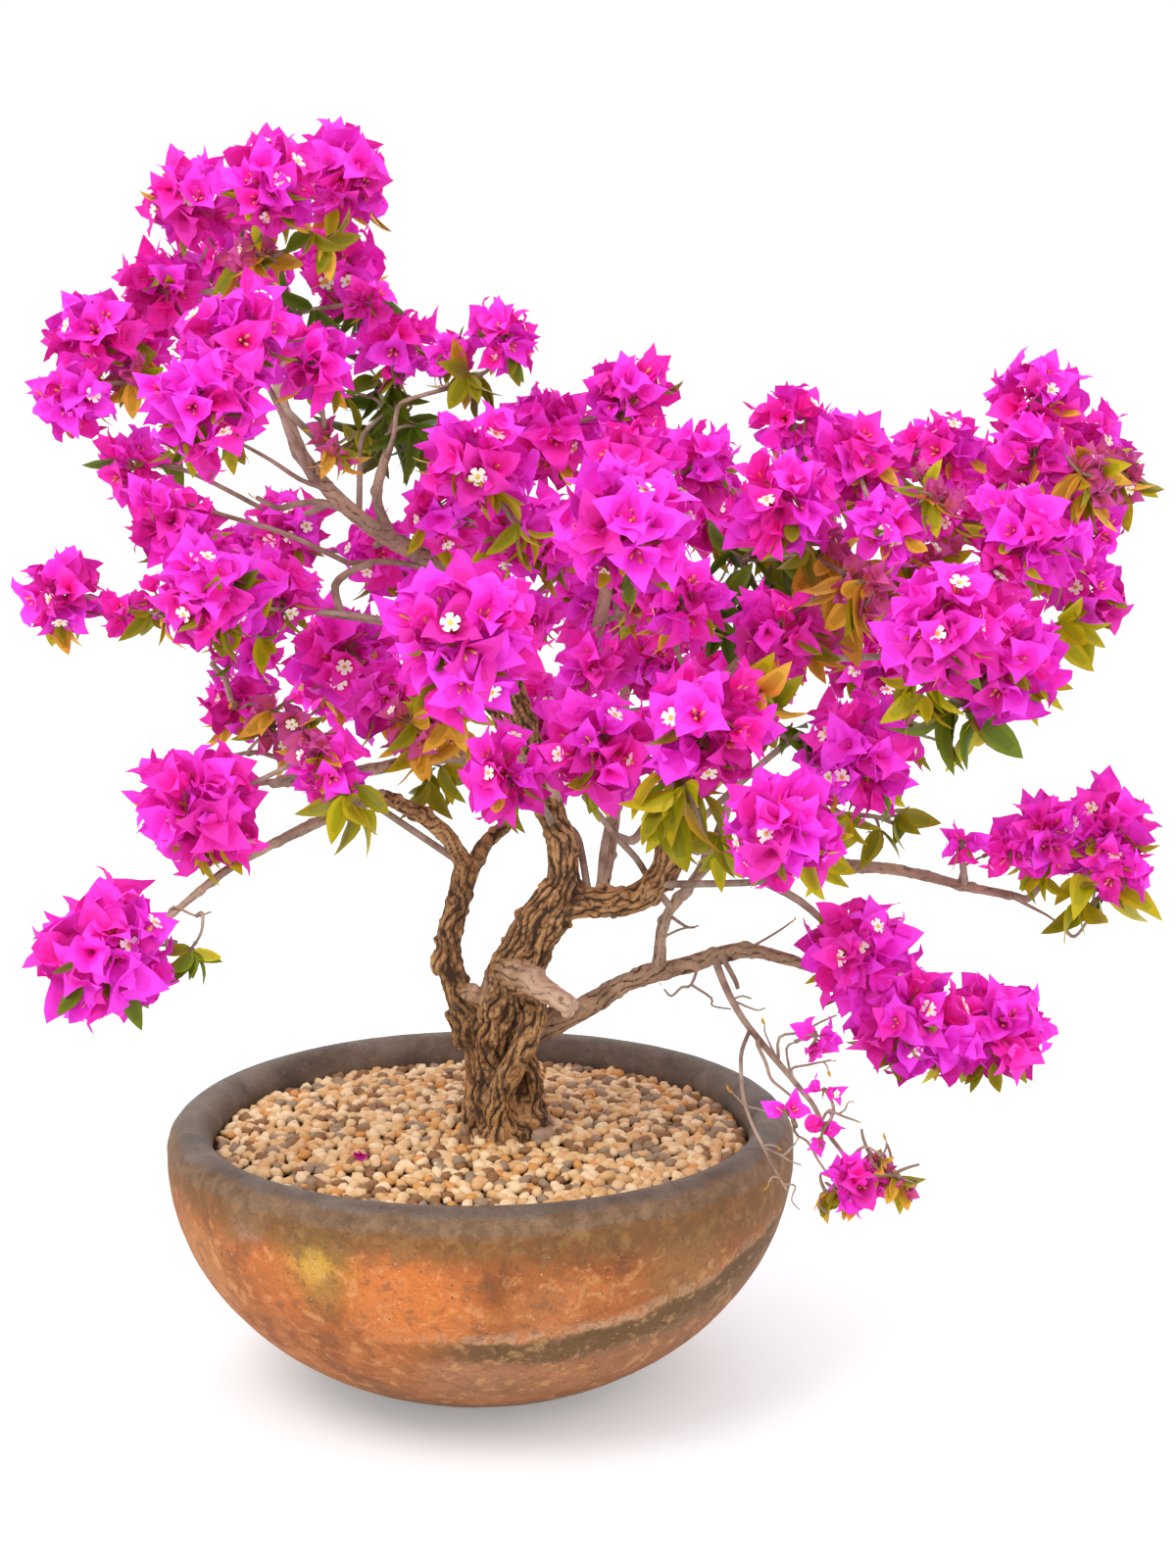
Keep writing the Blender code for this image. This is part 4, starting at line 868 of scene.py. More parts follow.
bowl = {
    "radius": 0.2585, "widest": 0.195, "semiHeight": 0.2065, "wall": 0.020,
    "rimMiddle": (0.240, 0.200), "rimHalf": (0.0185, 0.022), "mouth": 0.2215,
    "floor": 0.022, "floorRadius": 0.100, "footRounding": (0.004, 0.001, 0.0006),
    # heights of the first and last ring and their number; the rolled rim's first angle, sweep and steps
    "outside": (0.003, 0.184, 44), "inside": (0.190, 0.045, 14), "rimSweep": (8, 164, 18),
    "turns": 192, "waviness": 0.0007, "dents": 0.0005, "dentSize": 0.013, "evenFoot": 0.01,
}


def bowlRadius(z, inset=0.0):
    drop = (bowl["widest"] - z) / (bowl["semiHeight"] - inset)
    return (bowl["radius"] - inset) * math.sqrt(1 - drop * drop)


def bowlProfile():
    foot = bowlRadius(0)
    flat, turn, rise = bowl["footRounding"]
    profile = [(0, 0), (0.5 * foot, 0), (foot - flat, 0), (foot - turn, rise)]
    profile += [(bowlRadius(z), z) for z in np.linspace(*bowl["outside"])]
    first, sweep, steps = bowl["rimSweep"]
    for k in range(steps + 1):
        angle = math.radians(first + sweep * k / steps)
        profile.append((bowl["rimMiddle"][0] + bowl["rimHalf"][0] * math.cos(angle),
                        bowl["rimMiddle"][1] + bowl["rimHalf"][1] * math.sin(angle)))
    for z in np.linspace(*bowl["inside"]):
        profile.append((min(bowlRadius(z, bowl["wall"]), bowl["mouth"]), z))
    return profile + [(bowl["floorRadius"], bowl["floor"]), (0, bowl["floor"])]


def buildBowl(paint):
    # turned, and then a little uneven, as thrown by hand
    turns = bowl["turns"]
    rows = bowlProfile()
    points, faces = [Vector((0, 0, rows[0][1]))], []
    for r, z in rows[1:-1]:
        for k in range(turns):
            angle = 2 * math.pi * k / turns
            out = Vector((math.cos(angle), math.sin(angle), 0))
            p = out * r + Vector((0, 0, z))
            wave = noise.noise(Vector((out.x * 1.6, out.y * 1.6, z * 22))) * bowl["waviness"]
            dent = noise.noise(p / bowl["dentSize"]) * bowl["dents"]
            lift = min(z / bowl["evenFoot"], 1)
            points.append(p + out * (wave + dent) * lift + Vector((0, 0, wave * lift * (z > 0.15))))
    points.append(Vector((0, 0, rows[-1][1])))
    last = len(points) - 1
    for k in range(turns):
        a, b = 1 + k, 1 + (k + 1) % turns
        faces.append((0, b, a))
        for row in range(len(rows) - 3):
            c = row * turns
            faces.append((a + c, b + c, b + c + turns, a + c + turns))
        c = (len(rows) - 3) * turns
        faces.append((a + c, b + c, last))
    return meshObject("bowl", points, faces, [paint])


# weathering: middle of each patch, its radius, how strong it is, and its colour
bowlPatches = [
    ((-0.116, -0.229, 0.170), 0.050, 0.75, (0.40, 0.21, 0.035)),
    ((-0.118, -0.226, 0.173), 0.022, 0.60, (0.72, 0.40, 0.05)),
    ((-0.172, -0.193, 0.199), 0.030, 0.45, (0.52, 0.36, 0.27)),
    ((-0.150, -0.205, 0.150), 0.045, 0.60, (0.66, 0.185, 0.036)),
    ((-0.045, -0.250, 0.146), 0.070, 0.75, (0.72, 0.205, 0.042)),
    ((0.059, -0.240, 0.139), 0.040, 0.50, (0.62, 0.22, 0.07)),
    ((0.163, -0.193, 0.162), 0.055, 0.60, (0.34, 0.17, 0.052)),
    ((0.0, -0.215, 0.066), 0.060, 0.45, (0.44, 0.20, 0.10)),
    ((-0.210, -0.120, 0.140), 0.060, 0.45, (0.60, 0.26, 0.08)),
    ((0.200, 0.130, 0.150), 0.060, 0.50, (0.60, 0.24, 0.08)),
    ((-0.060, 0.245, 0.140), 0.070, 0.55, (0.72, 0.25, 0.07)),
    ((0.090, 0.235, 0.120), 0.040, 0.50, (0.40, 0.28, 0.08)),
]
clayColours = {  # ramps of place and colour, and single colours
    "clay": [(0.30, (0.17, 0.058, 0.017)), (0.5, (0.40, 0.112, 0.024)), (0.70, (0.56, 0.185, 0.042))],
    "olive": [(0.35, (0.105, 0.055, 0.016)), (0.5, (0.185, 0.088, 0.025)), (0.66, (0.30, 0.155, 0.05))],
    "rimFace": [(0.35, (0.15, 0.088, 0.047)), (0.65, (0.27, 0.17, 0.10))],
    "rim": [(0.3, (0.075, 0.056, 0.040)), (0.5, (0.150, 0.112, 0.082)), (0.7, (0.24, 0.185, 0.14))],
    "moss": (0.110, 0.062, 0.018), "paleEdge": (0.64, 0.40, 0.23), "dusk": (0.34, 0.165, 0.078),
    # the foot and shade colours here are painted shade
    "ochre": (0.24, 0.098, 0.030), "foot": (0.080, 0.036, 0.014), "shade": (0.120, 0.062, 0.025),
    "darkMottle": (0.19, 0.085, 0.032), "paleMottle": (0.78, 0.40, 0.16), "scratch": (0.78, 0.54, 0.33),
    "crack": (0.12, 0.05, 0.02), "pit": (0.07, 0.035, 0.02), "lime": (0.80, 0.70, 0.58),
    "rimRust": (0.22, 0.13, 0.07), "rimDust": (0.32, 0.27, 0.23),
}


def bowlPaint():
    paint = Paint("weatheredTerracotta", (0.42, 0.17, 0.07), 0.75, Specular_IOR_Level=0.35)
    tints = clayColours
    x, y, z = (paint.axis(k) for k in range(3))
    cloud = paint.noise(0.045, 5, 0.6, 0.6)
    blotch = paint.noise(0.013, 4, 0.6, 0.4)
    speck = paint.noise(0.0035, 3, 0.6)
    uneven = (blotch - 0.5) * 0.035 + (cloud - 0.5) * 0.03
    colour = paint.patches(paint.ramp(cloud, *tints["clay"]), bowlPatches, lambda radius: uneven, 0.35)
    # a band that climbs to the right: pale at its upper edge, then moss, and dusky below
    bend = paint.math("MAXIMUM", x - 0.03, 0.0)
    slant = z - 0.113 - bend * bend * 1.1 + (cloud - 0.5) * 0.022 + (blotch - 0.5) * 0.008
    right = paint.step(x, -0.09, 0.03) * paint.step(y, 0.02, -0.10)
    pale = paint.step(slant, -0.005, 0.002) * paint.step(slant, 0.014, 0.005)
    pale = pale * paint.step(blotch, 0.42, 0.56)
    moss = paint.step(slant, 0.002, -0.003) * paint.step(slant + x * 0.10, -0.026, -0.014)
    dusk = paint.step(slant, -0.018, -0.026) * paint.step(slant, -0.075, -0.055)
    # ochre towards the foot, painted shade right at the foot, and painted shade on the right side
    low = paint.step(z + (cloud - 0.5) * 0.05, 0.085, 0.03)
    # painted shade: the wall darkens where the bowl meets the floor
    foot = paint.step(z + (blotch - 0.5) * 0.02, 0.038, 0.006)
    # painted shade: the wall darkens towards the right side
    shade = paint.step(x + (cloud - 0.5) * 0.10, 0.10, 0.24)
    # mottling, squiggly scratches, cracks, pits and lime specks
    squiggle = paint.thread(paint.noise(0.012, 2, 0.5, 2.2), 0.010, 0.002)
    squiggle = squiggle * paint.step(cloud, 0.42, 0.60)
    crack = paint.thread(paint.noise(0.009, 2, 0.5, 1.6), 0.008, 0.002)
    pit = paint.step(paint.spots(0.011), 0.085, 0.05)
    lime = paint.step(paint.spots(0.0093), 0.075, 0.045) * paint.step(blotch, 0.45, 0.55)
    colour = paint.layers(
        colour, (right * moss * 0.88, tints["moss"]), (right * pale * 0.60, tints["paleEdge"]),
        (right * dusk * 0.55, tints["dusk"]), (low * 0.62, tints["ochre"]),
        (foot * 0.88, tints["foot"]), (shade * 0.42, tints["shade"]),
        (paint.step(blotch, 0.53, 0.68) * 0.55, tints["darkMottle"]),
        (paint.step(blotch, 0.46, 0.34) * 0.35, tints["paleMottle"]),
        (squiggle * 0.6, tints["scratch"]), (crack * 0.55, tints["crack"]),
        (pit * 0.8, tints["pit"]), (lime * 0.85, tints["lime"]))
    # the rim's top is dark grey, its face brown, and the wall below it olive
    ragged = z + (cloud - 0.5) * 0.014 + (blotch - 0.5) * 0.006
    fringe = (cloud - 0.5) * 0.03 + (blotch - 0.5) * 0.02 + bend * 0.08
    olive = paint.step(ragged + fringe, 0.170, 0.196)
    brown = paint.step(ragged, 0.200, 0.209)
    inside = paint.step(paint.math("SQRT", x * x + y * y), 0.238, 0.230) * paint.step(z, 0.150, 0.160)
    rim = paint.math("MAXIMUM", paint.step(ragged, 0.2145, 0.2195), inside)
    rimColour = paint.layers(
        paint.ramp(cloud, *tints["rim"]), (paint.step(blotch, 0.55, 0.68) * 0.4, tints["rimRust"]),
        (paint.step(speck, 0.62, 0.72) * 0.3, tints["rimDust"]))
    colour = paint.layers(
        colour, (olive * 0.78, paint.ramp(blotch, *tints["olive"])),
        (brown * 0.80, paint.ramp(blotch, *tints["rimFace"])), (rim * 0.96, rimColour))
    paint.set(Base_Color=colour, Roughness=0.78 - 0.24 * rim + 0.14 * (speck - 0.5))
    height = 0.5 * blotch + 0.35 * speck + 0.5 * cloud - 0.7 * pit - 0.25 * crack + 0.2 * squiggle
    paint.relief(height, 0.0014, 0.9)
    return paint


print("bowl")
bowlPiece = buildBowl(bowlPaint())
settle(bowlPiece, "terracotta", "pot")


# Gravel

gravel = {
    "middleHeight": 0.2064, "edgeHeight": 0.201, "levelRadius": 0.068, "edge": 0.2165,
    "apart": 0.0076, "sizes": (0.0050, 0.0076), "sunk": 0.0030, "shapes": 12,
    "tries": 30000, "tilt": (0.40, 0.35), "uneven": 0.0014,
    "squeeze": ((0.85, 1.3), (0.68, 0.98), (0.5, 0.8)), "blocky": (0.1, 0.5), "dents": 0.30,
    "bedDepth": 0.0062, "bedBottom": 0.160, "bedEdge": 0.2205, "bedTurns": 96, "bedRings": 29,
    "bedTaper": 0.93, "gritDepth": 0.0016, "gritSize": 0.008,
    "trunkAt": (0.022, 0.0), "trunkRadius": 0.025,
}


def gravelHeight(r):
    fall = max(r - gravel["levelRadius"], 0) / (gravel["edge"] - gravel["levelRadius"])
    return gravel["middleHeight"] + (gravel["edgeHeight"] - gravel["middleHeight"]) * fall


def buildBed(paint):
    # fine grit under the pebbles, dark so that the gaps between them read as painted shade
    turns, rings = gravel["bedTurns"], np.linspace(0, gravel["bedEdge"], gravel["bedRings"] + 1)[1:]
    points, faces = [Vector((0, 0, gravelHeight(0) - gravel["bedDepth"]))], []
    for r in rings:
        for k in range(turns):
            angle = 2 * math.pi * k / turns
            p = Vector((r * math.cos(angle), r * math.sin(angle), gravelHeight(r) - gravel["bedDepth"]))
            p.z += gravel["gritDepth"] * noise.noise(p / gravel["gritSize"])
            points.append(p)
    ring = len(points) - turns
    foot = gravel["bedBottom"]
    points += [Vector((p.x, p.y, foot)) * gravel["bedTaper"] for p in points[ring:]]
    points.append(Vector((0, 0, foot * gravel["bedTaper"])))
    for k in range(turns):
        a, b = 1 + k, 1 + (k + 1) % turns
        faces.append((0, a, b))
        for row in range(len(rings)):
            c = row * turns
            faces.append((a + c, a + c + turns, b + c + turns, b + c))
        c = len(rings) * turns
        faces.append((len(points) - 1, b + c, a + c))
    return meshObject("gravelBed", points, faces, [paint])


def pebbleShape(rng):
    # a cube rounded to a stone, squeezed and dented
    bm = bmesh.new()
    bmesh.ops.create_cube(bm, size=2)
    bmesh.ops.subdivide_edges(bm, edges=bm.edges, cuts=1, use_grid_fill=True)
    push = Vector([rng.uniform(-9, 9) for _ in range(3)])
    squeeze = Vector([rng.uniform(*span) for span in gravel["squeeze"]])
    blocky = rng.uniform(*gravel["blocky"])
    for vert in bm.verts:
        ball = vert.co.normalized()
        stone = ball.lerp(vert.co * 0.66, blocky)
        vert.co = stone * (1 + gravel["dents"] * noise.noise(ball * 1.3 + push)) * squeeze
    shape = [v.co.copy() for v in bm.verts], [tuple(v.index for v in f.verts) for f in bm.faces]
    bm.free()
    return onePart(shape)


def pebblePlaces(rng, tones):
    # scattered so that no two middles lie nearer than the set distance
    places, cells = Places(), {}
    size = gravel["apart"]
    for _ in range(gravel["tries"]):
        r = gravel["edge"] * math.sqrt(rng.random())
        angle = rng.uniform(0, 2 * math.pi)
        x, y = r * math.cos(angle), r * math.sin(angle)
        if math.dist((x, y), gravel["trunkAt"]) < gravel["trunkRadius"]:
            continue
        i, j = int(x // size), int(y // size)
        near = [p for di in (-1, 0, 1) for dj in (-1, 0, 1) for p in cells.get((i + di, j + dj), ())]
        if any((x - p[0]) ** 2 + (y - p[1]) ** 2 < size ** 2 for p in near):
            continue
        cells.setdefault((i, j), []).append((x, y))
        turn = Matrix.Rotation(rng.uniform(0, 6.28), 3, "Z")
        for tilt, axis in zip(gravel["tilt"], "XY"):
            turn = turn @ Matrix.Rotation(rng.gauss(0, tilt), 3, axis)
        height = gravelHeight(r) - gravel["sunk"] + rng.uniform(-gravel["uneven"], gravel["uneven"])
        tone = rng.choices(range(len(tones)), tones)[0]
        stoneSize = rng.uniform(*gravel["sizes"])
        places.add((x, y, height), turn, stoneSize, rng.randrange(gravel["shapes"]), tone)
    return places


def pebblePaint(name, colour):
    paint = Paint(name, colour, 0.55, Specular_IOR_Level=0.4)
    grain = paint.noise(0.006, 3)
    paint.set(Roughness=0.42 + 0.3 * grain)
    paint.relief(grain, 0.0006, 0.4)
    return paint


def bedPaint():
    paint = Paint("gritAndGapShade", (0.10, 0.06, 0.03), 0.95)
    grain = paint.noise(0.004, 3)
    # dark grit: partly the grit's own colour, partly painted shade in the gaps between the pebbles
    paint.set(Base_Color=paint.ramp(grain, (0.38, (0.03, 0.016, 0.008)), (0.65, (0.17, 0.095, 0.045))))
    paint.relief(grain, 0.002, 0.8)
    return paint


print("gravel")
pebbleTones = [
    ("tanPebble", (0.78, 0.48, 0.21), 30), ("creamPebble", (0.94, 0.72, 0.43), 24),
    ("brownPebble", (0.31, 0.150, 0.055), 16), ("greyPebble", (0.37, 0.26, 0.165), 13),
    ("orangePebble", (0.74, 0.35, 0.09), 9), ("sandPebble", (0.85, 0.59, 0.30), 24),
]
rng = random.Random(seed)
places = pebblePlaces(rng, [share for _, _, share in pebbleTones])
pebbles = growCopies("pebbles", places, [pebbleShape(rng) for _ in range(gravel["shapes"])],
                     [pebblePaint(name, colour) for name, colour, _ in pebbleTones])
settle(pebbles, "gravel", "gravel")
settle(buildBed(bedPaint()), "gravel", "gravel")


# Twigs, blooms and leaves

crown = {
    "stemRadii": (0.0036, 0.0024), "sprayRadii": (0.0018, 0.0010), "stalkRadius": 0.0008,
    "middle": 0.09, "catch": 0.015, "setback": 0.12, "bow": 0.12, "firstStretch": 0.012,
    "bloomsPerArea": 12500, "innerBlooms": 7, "innerDepth": 0.45, "shift": (0.001, 0, -0.003),
    "reach": 0.92, "lobes": 0.20,  # how far the blooms stand out, and how uneven a cluster is
    # lengths at no radius, and how they grow with the cluster's radius
    "bractLength": (0.016, 0.48), "longestBract": 0.044,
    "leafLength": (0.019, 0.90), "longestLeaf": 0.060, "smallLeaf": (0.018, 0.036),
    "stray": 0.22, "tilt": 0.45, "throatDepth": 0.66, "lean": 0.12,
    "openFlowers": 0.19, "buds": 0.5, "leavesPerBloom": 0.50,
    "spraysPerRadius": 90, "leafSprays": 0.65, "whorl": (4, 6), "mainTone": 0.55, "dryTips": 0.7,
    "bloomShapes": 20, "leafShapes": 8, "leafBreadths": (0.24, 0.17), "starLifts": (0.40, 0.46),
}


def randomVector(rng):
    return Vector([rng.uniform(-1, 1) for _ in range(3)])


def turnedTo(axis, spin):
    return axis.to_track_quat("Z", "Y").to_matrix() @ Matrix.Rotation(spin, 3, "Z")


def bractWidth(s):
    # broad near the foot, drawn out to a long point
    return 0.36 * s ** 0.62 * (1 - s) ** 1.32 / 0.300 if s > 0.03 else 0.05


def bractShape(rng, openness, wave):
    # one bract on +X of the flower's axis, which is +Z; unit length
    # parts: 0 its heart, 1 its middle, 2 its edge
    rows = (0.0, 0.12, 0.28, 0.45, 0.62, 0.80, 1.0)
    columns = (-1.0, -0.5, 0.0, 0.5, 1.0)
    points, faces, parts = [], [], []
    place = Vector((0.03, 0, 0.0))
    curl = rng.uniform(0.2, 1.7)
    turns = [openness * (0.30 + 0.85 * s) + curl * max(s - 0.70, 0) / 0.30 for s in rows]
    phase, twist = rng.uniform(0, 6.28), rng.gauss(0, 0.3)
    lean = rng.gauss(0, 0.10)
    for i, s in enumerate(rows):
        if i:
            heading = 0.5 * (turns[i] + turns[i - 1])
            place = place + (s - rows[i - 1]) * Vector((math.sin(heading), lean, math.cos(heading)))
        width = bractWidth(s)
        inward = Vector((-math.cos(turns[i]), 0, math.sin(turns[i])))
        for t in columns:
            fold = (0.50 - 0.75 * s) * abs(t) ** 1.2 * width
            ripple = wave * width * abs(t) * math.sin(phase + 8.0 * s + 2.5 * t)
            bend = fold + ripple + twist * s * t * width
            points.append(place + Vector((0, t * width, 0)) + inward * bend)
    for k in range(5):
        points[-5 + k] = place + Vector((0, 0.003 * (k - 2), 0))
    for i in range(len(rows) - 1):
        for k in range(4):
            a = i * 5 + k
            faces.append((a, a + 1, a + 6, a + 5))
            heart, edge = (1, 1) if k in (0, 3) else (2, 3)
            parts.append(0 if i < heart else 2 if i > edge else 1)
    return points, faces, parts


def bloomShape(rng):
    # three bracts round the axis
    openness = rng.uniform(0.40, 1.10)
    points, faces, parts = [], [], []
    for k in range(3):
        opened, wave = openness * rng.uniform(0.7, 1.25), rng.uniform(0.15, 0.42)
        bract, bractFaces, regions = bractShape(rng, opened, wave)
        spin = Matrix.Rotation(2 * math.pi * k / 3 + rng.gauss(0, 0.14), 3, "Z")
        scale = rng.uniform(0.88, 1.08)
        faces += [tuple(i + len(points) for i in face) for face in bractFaces]
        parts += regions
        points += [spin @ (p * scale) for p in bract]
    return points, faces, parts


def budShape(rng, count):
    # the slim tubes of the true flowers, one on each bract
    points, faces = [], []
    for k in range(count):
        angle = 2 * math.pi * k / 3 + 0.3
        lean = rng.uniform(0.12, 0.3)
        out = Vector((math.cos(angle) * lean, math.sin(angle) * lean, 1)).normalized()
        foot = Vector((0.02 * math.cos(angle), 0.02 * math.sin(angle), 0))
        path = [out * s * 0.42 + foot for s in (0.05, 0.8, 1)]
        more, moreFaces = tube(path, [0.022, 0.042, 0.022], 4)
        faces += [tuple(i + len(points) for i in face) for face in moreFaces]
        points += more
    return onePart((points, faces))


def starShape(lift):
    # five rounded lobes, flat as a plate
    points, faces = [Vector((0, 0, lift))], []
    for k in range(10):
        angle = math.pi * k / 5
        radius, rise = (0.205, 0.02) if k % 2 == 0 else (0.10, 0)
        z = lift + 0.02 + rise
        points.append(Vector((radius * math.cos(angle), radius * math.sin(angle), z)))
    for k in range(5):
        a, b, c = 1 + (2 * k - 1) % 10, 1 + 2 * k, 1 + (2 * k + 1) % 10
        tip = points[b]
        wide = [tip + Vector((-tip.y, tip.x, 0)) * s * 0.42 for s in (-1, 1)]
        wide = [Vector((w.x * 0.9, w.y * 0.9, tip.z)) for w in wide]
        n = len(points)
        points += wide
        faces.append((0, a, n, b))
        faces.append((0, b, n + 1, c))
    return onePart((points, faces))


def eyeShape(lift):
    points = [Vector((0, 0, lift + 0.035))]
    for k in range(6):
        angle = math.pi * k / 3
        points.append(Vector((0.06 * math.cos(angle), 0.06 * math.sin(angle), lift + 0.022)))
    return onePart((points, [(0, 1 + k, 1 + (k + 1) % 6) for k in range(6)]))


def leafShape(rng, breadth):
    # a pointed leaf of unit length along +Z, its upper side towards +X
    # parts: 0 along its rib, 1 its margin
    rows = (0.0, 0.06, 0.2, 0.38, 0.56, 0.74, 0.88, 1.0)
    droop, fold, twist = rng.uniform(-0.05, 0.28), rng.uniform(0.10, 0.35), rng.gauss(0, 0.3)
    wave, phase = rng.uniform(0.04, 0.14), rng.uniform(0, 6.28)
    points, faces, parts = [], [], []
    for s in rows:
        width = breadth * math.sin(math.pi * s ** 0.82) ** 0.80 * (1 - 0.30 * s)
        width += 0.010 if s < 0.05 else 0
        centre = Vector((-droop * s * s * 0.9 + 0.06 * math.sin(3 * s), 0, s * (1 - 0.12 * droop * s)))
        roll = Matrix.Rotation(twist * s, 3, "Z")
        for t in (-1, -0.5, 0, 0.5, 1):
            lift = fold * abs(t) ** 1.2 * width + wave * width * t * t * math.sin(phase + 8 * s + 2 * t)
            points.append(centre + roll @ Vector((lift, t * width, 0)))
    for i in range(len(rows) - 1):
        for k in range(4):
            a = i * 5 + k
            faces.append((a, a + 1, a + 6, a + 5))
            parts.append(1 if k in (0, 3) or i > 4 else 0)
    return points, faces, parts


def sphereDirections(count, rng):
    turn = Matrix.Rotation(rng.uniform(0, 6.28), 3, "Z") @ Matrix.Rotation(rng.uniform(0, 3.14), 3, "X")
    for k in range(count):
        z = 1 - (2 * k + 1) / count
        angle = k * math.pi * (3 - math.sqrt(5))
        r = math.sqrt(1 - z * z)
        yield turn @ Vector((r * math.cos(angle), r * math.sin(angle), z))


def pointAlong(path, share):
    at = share * (len(path) - 1)
    i = min(int(at), len(path) - 2)
    return path[i].lerp(path[i + 1], at - i), (path[i + 1] - path[i]).normalized()


def clustersOf(name):
    _, _, blossom, leaves = masses[name]
    groups = [(Vector(c[:3]) * mm, c[3] * mm, None) for c in blossom]
    return groups + [(Vector(c[:3]) * mm, c[3] * mm, c[4]) for c in leaves]


def massTwigs(name, bare):
    # clusters near a bare twig grow on it; the stem goes to the nearest other, and the rest join on
    bough, share, _, _ = masses[name]
    rng = random.Random(f"{seed} {name}")
    waiting, twigs = [], []
    for cluster in clustersOf(name):
        centre, radius, _ = cluster
        spots = ((path, p) for path, _ in bare for p in path[2:])
        path, at = min(spots, key=lambda pair: (pair[1] - centre).length)
        if (at - centre).length < radius + crown["catch"]:
            heading = (path[-1] - path[-2]).normalized()
            twigs.append((bentTwig(at, heading, centre, rng), crown["sprayRadii"], cluster))
        else:
            waiting.append(cluster)
    if not waiting:
        return twigs
    root, along = pointAlong(limbCurve(bough), share)
    first = min(waiting, key=lambda c: (c[0] - root).length)
    waiting.remove(first)
    heading = along if share == 1 else (first[0] - root).normalized()
    base, tip = crown["stemRadii"]
    base = min(base, limbs[bough][2][1] * mm)
    grown = [(bentTwig(root, heading, first[0], rng), (base, tip), first)]
    while waiting:
        parent, cluster = min(((twig, c) for twig in grown for c in waiting),
                              key=lambda pair: (pair[0][2][0] - pair[1][0]).length)
        waiting.remove(cluster)
        start, _ = pointAlong(parent[0], 1 - crown["setback"])
        heading = (cluster[0] - start).normalized()
        grown.append((bentTwig(start, heading, cluster[0], rng), (tip, 0.7 * tip), cluster))
    return twigs + grown


def bentTwig(start, heading, end, rng, perSpan=4):
    length = (end - start).length
    first = start + heading * min(crown["firstStretch"], 0.25 * length)
    middle = first.lerp(end, 0.5) + heading * crown["bow"] * length + randomVector(rng) * 0.06 * length
    return smoothCurve([start, first, middle, end], perSpan)


def bareTwigLines():
    # each bare twig leaves the nearest point of the limb or twig that carries it
    lines, paths = [], {name: limbCurve(name) for name in limbs}
    for name, (parent, (base, tip), points) in bareTwigs.items():
        points = [Vector(p) * mm for p in points]
        start = min(paths[parent], key=lambda p: (p - points[0]).length)
        paths[name] = smoothCurve([start] + points[1:], 3)
        lines.append((paths[name], evenly(base * mm, tip * mm, paths[name])))
    return lines


def outward(place):
    # away from the middle of the crown and a little up
    away = Vector((place.x - crown["middle"], place.y, 0))
    return (away.normalized() + Vector((0, 0, 0.5))).normalized()


# the leaves' tones, and the tones that are mixed in with each
toneOf = {"green": 0, "olive": 1, "lime": 2, "dark": 3, "dry": 4}
otherTones = {
    "green": [0, 1, 2], "olive": [0, 1, 2, 2, 4], "lime": [1, 1, 2], "dark": [0, 3],
    "dry": [1, 1, 2, 4],
}


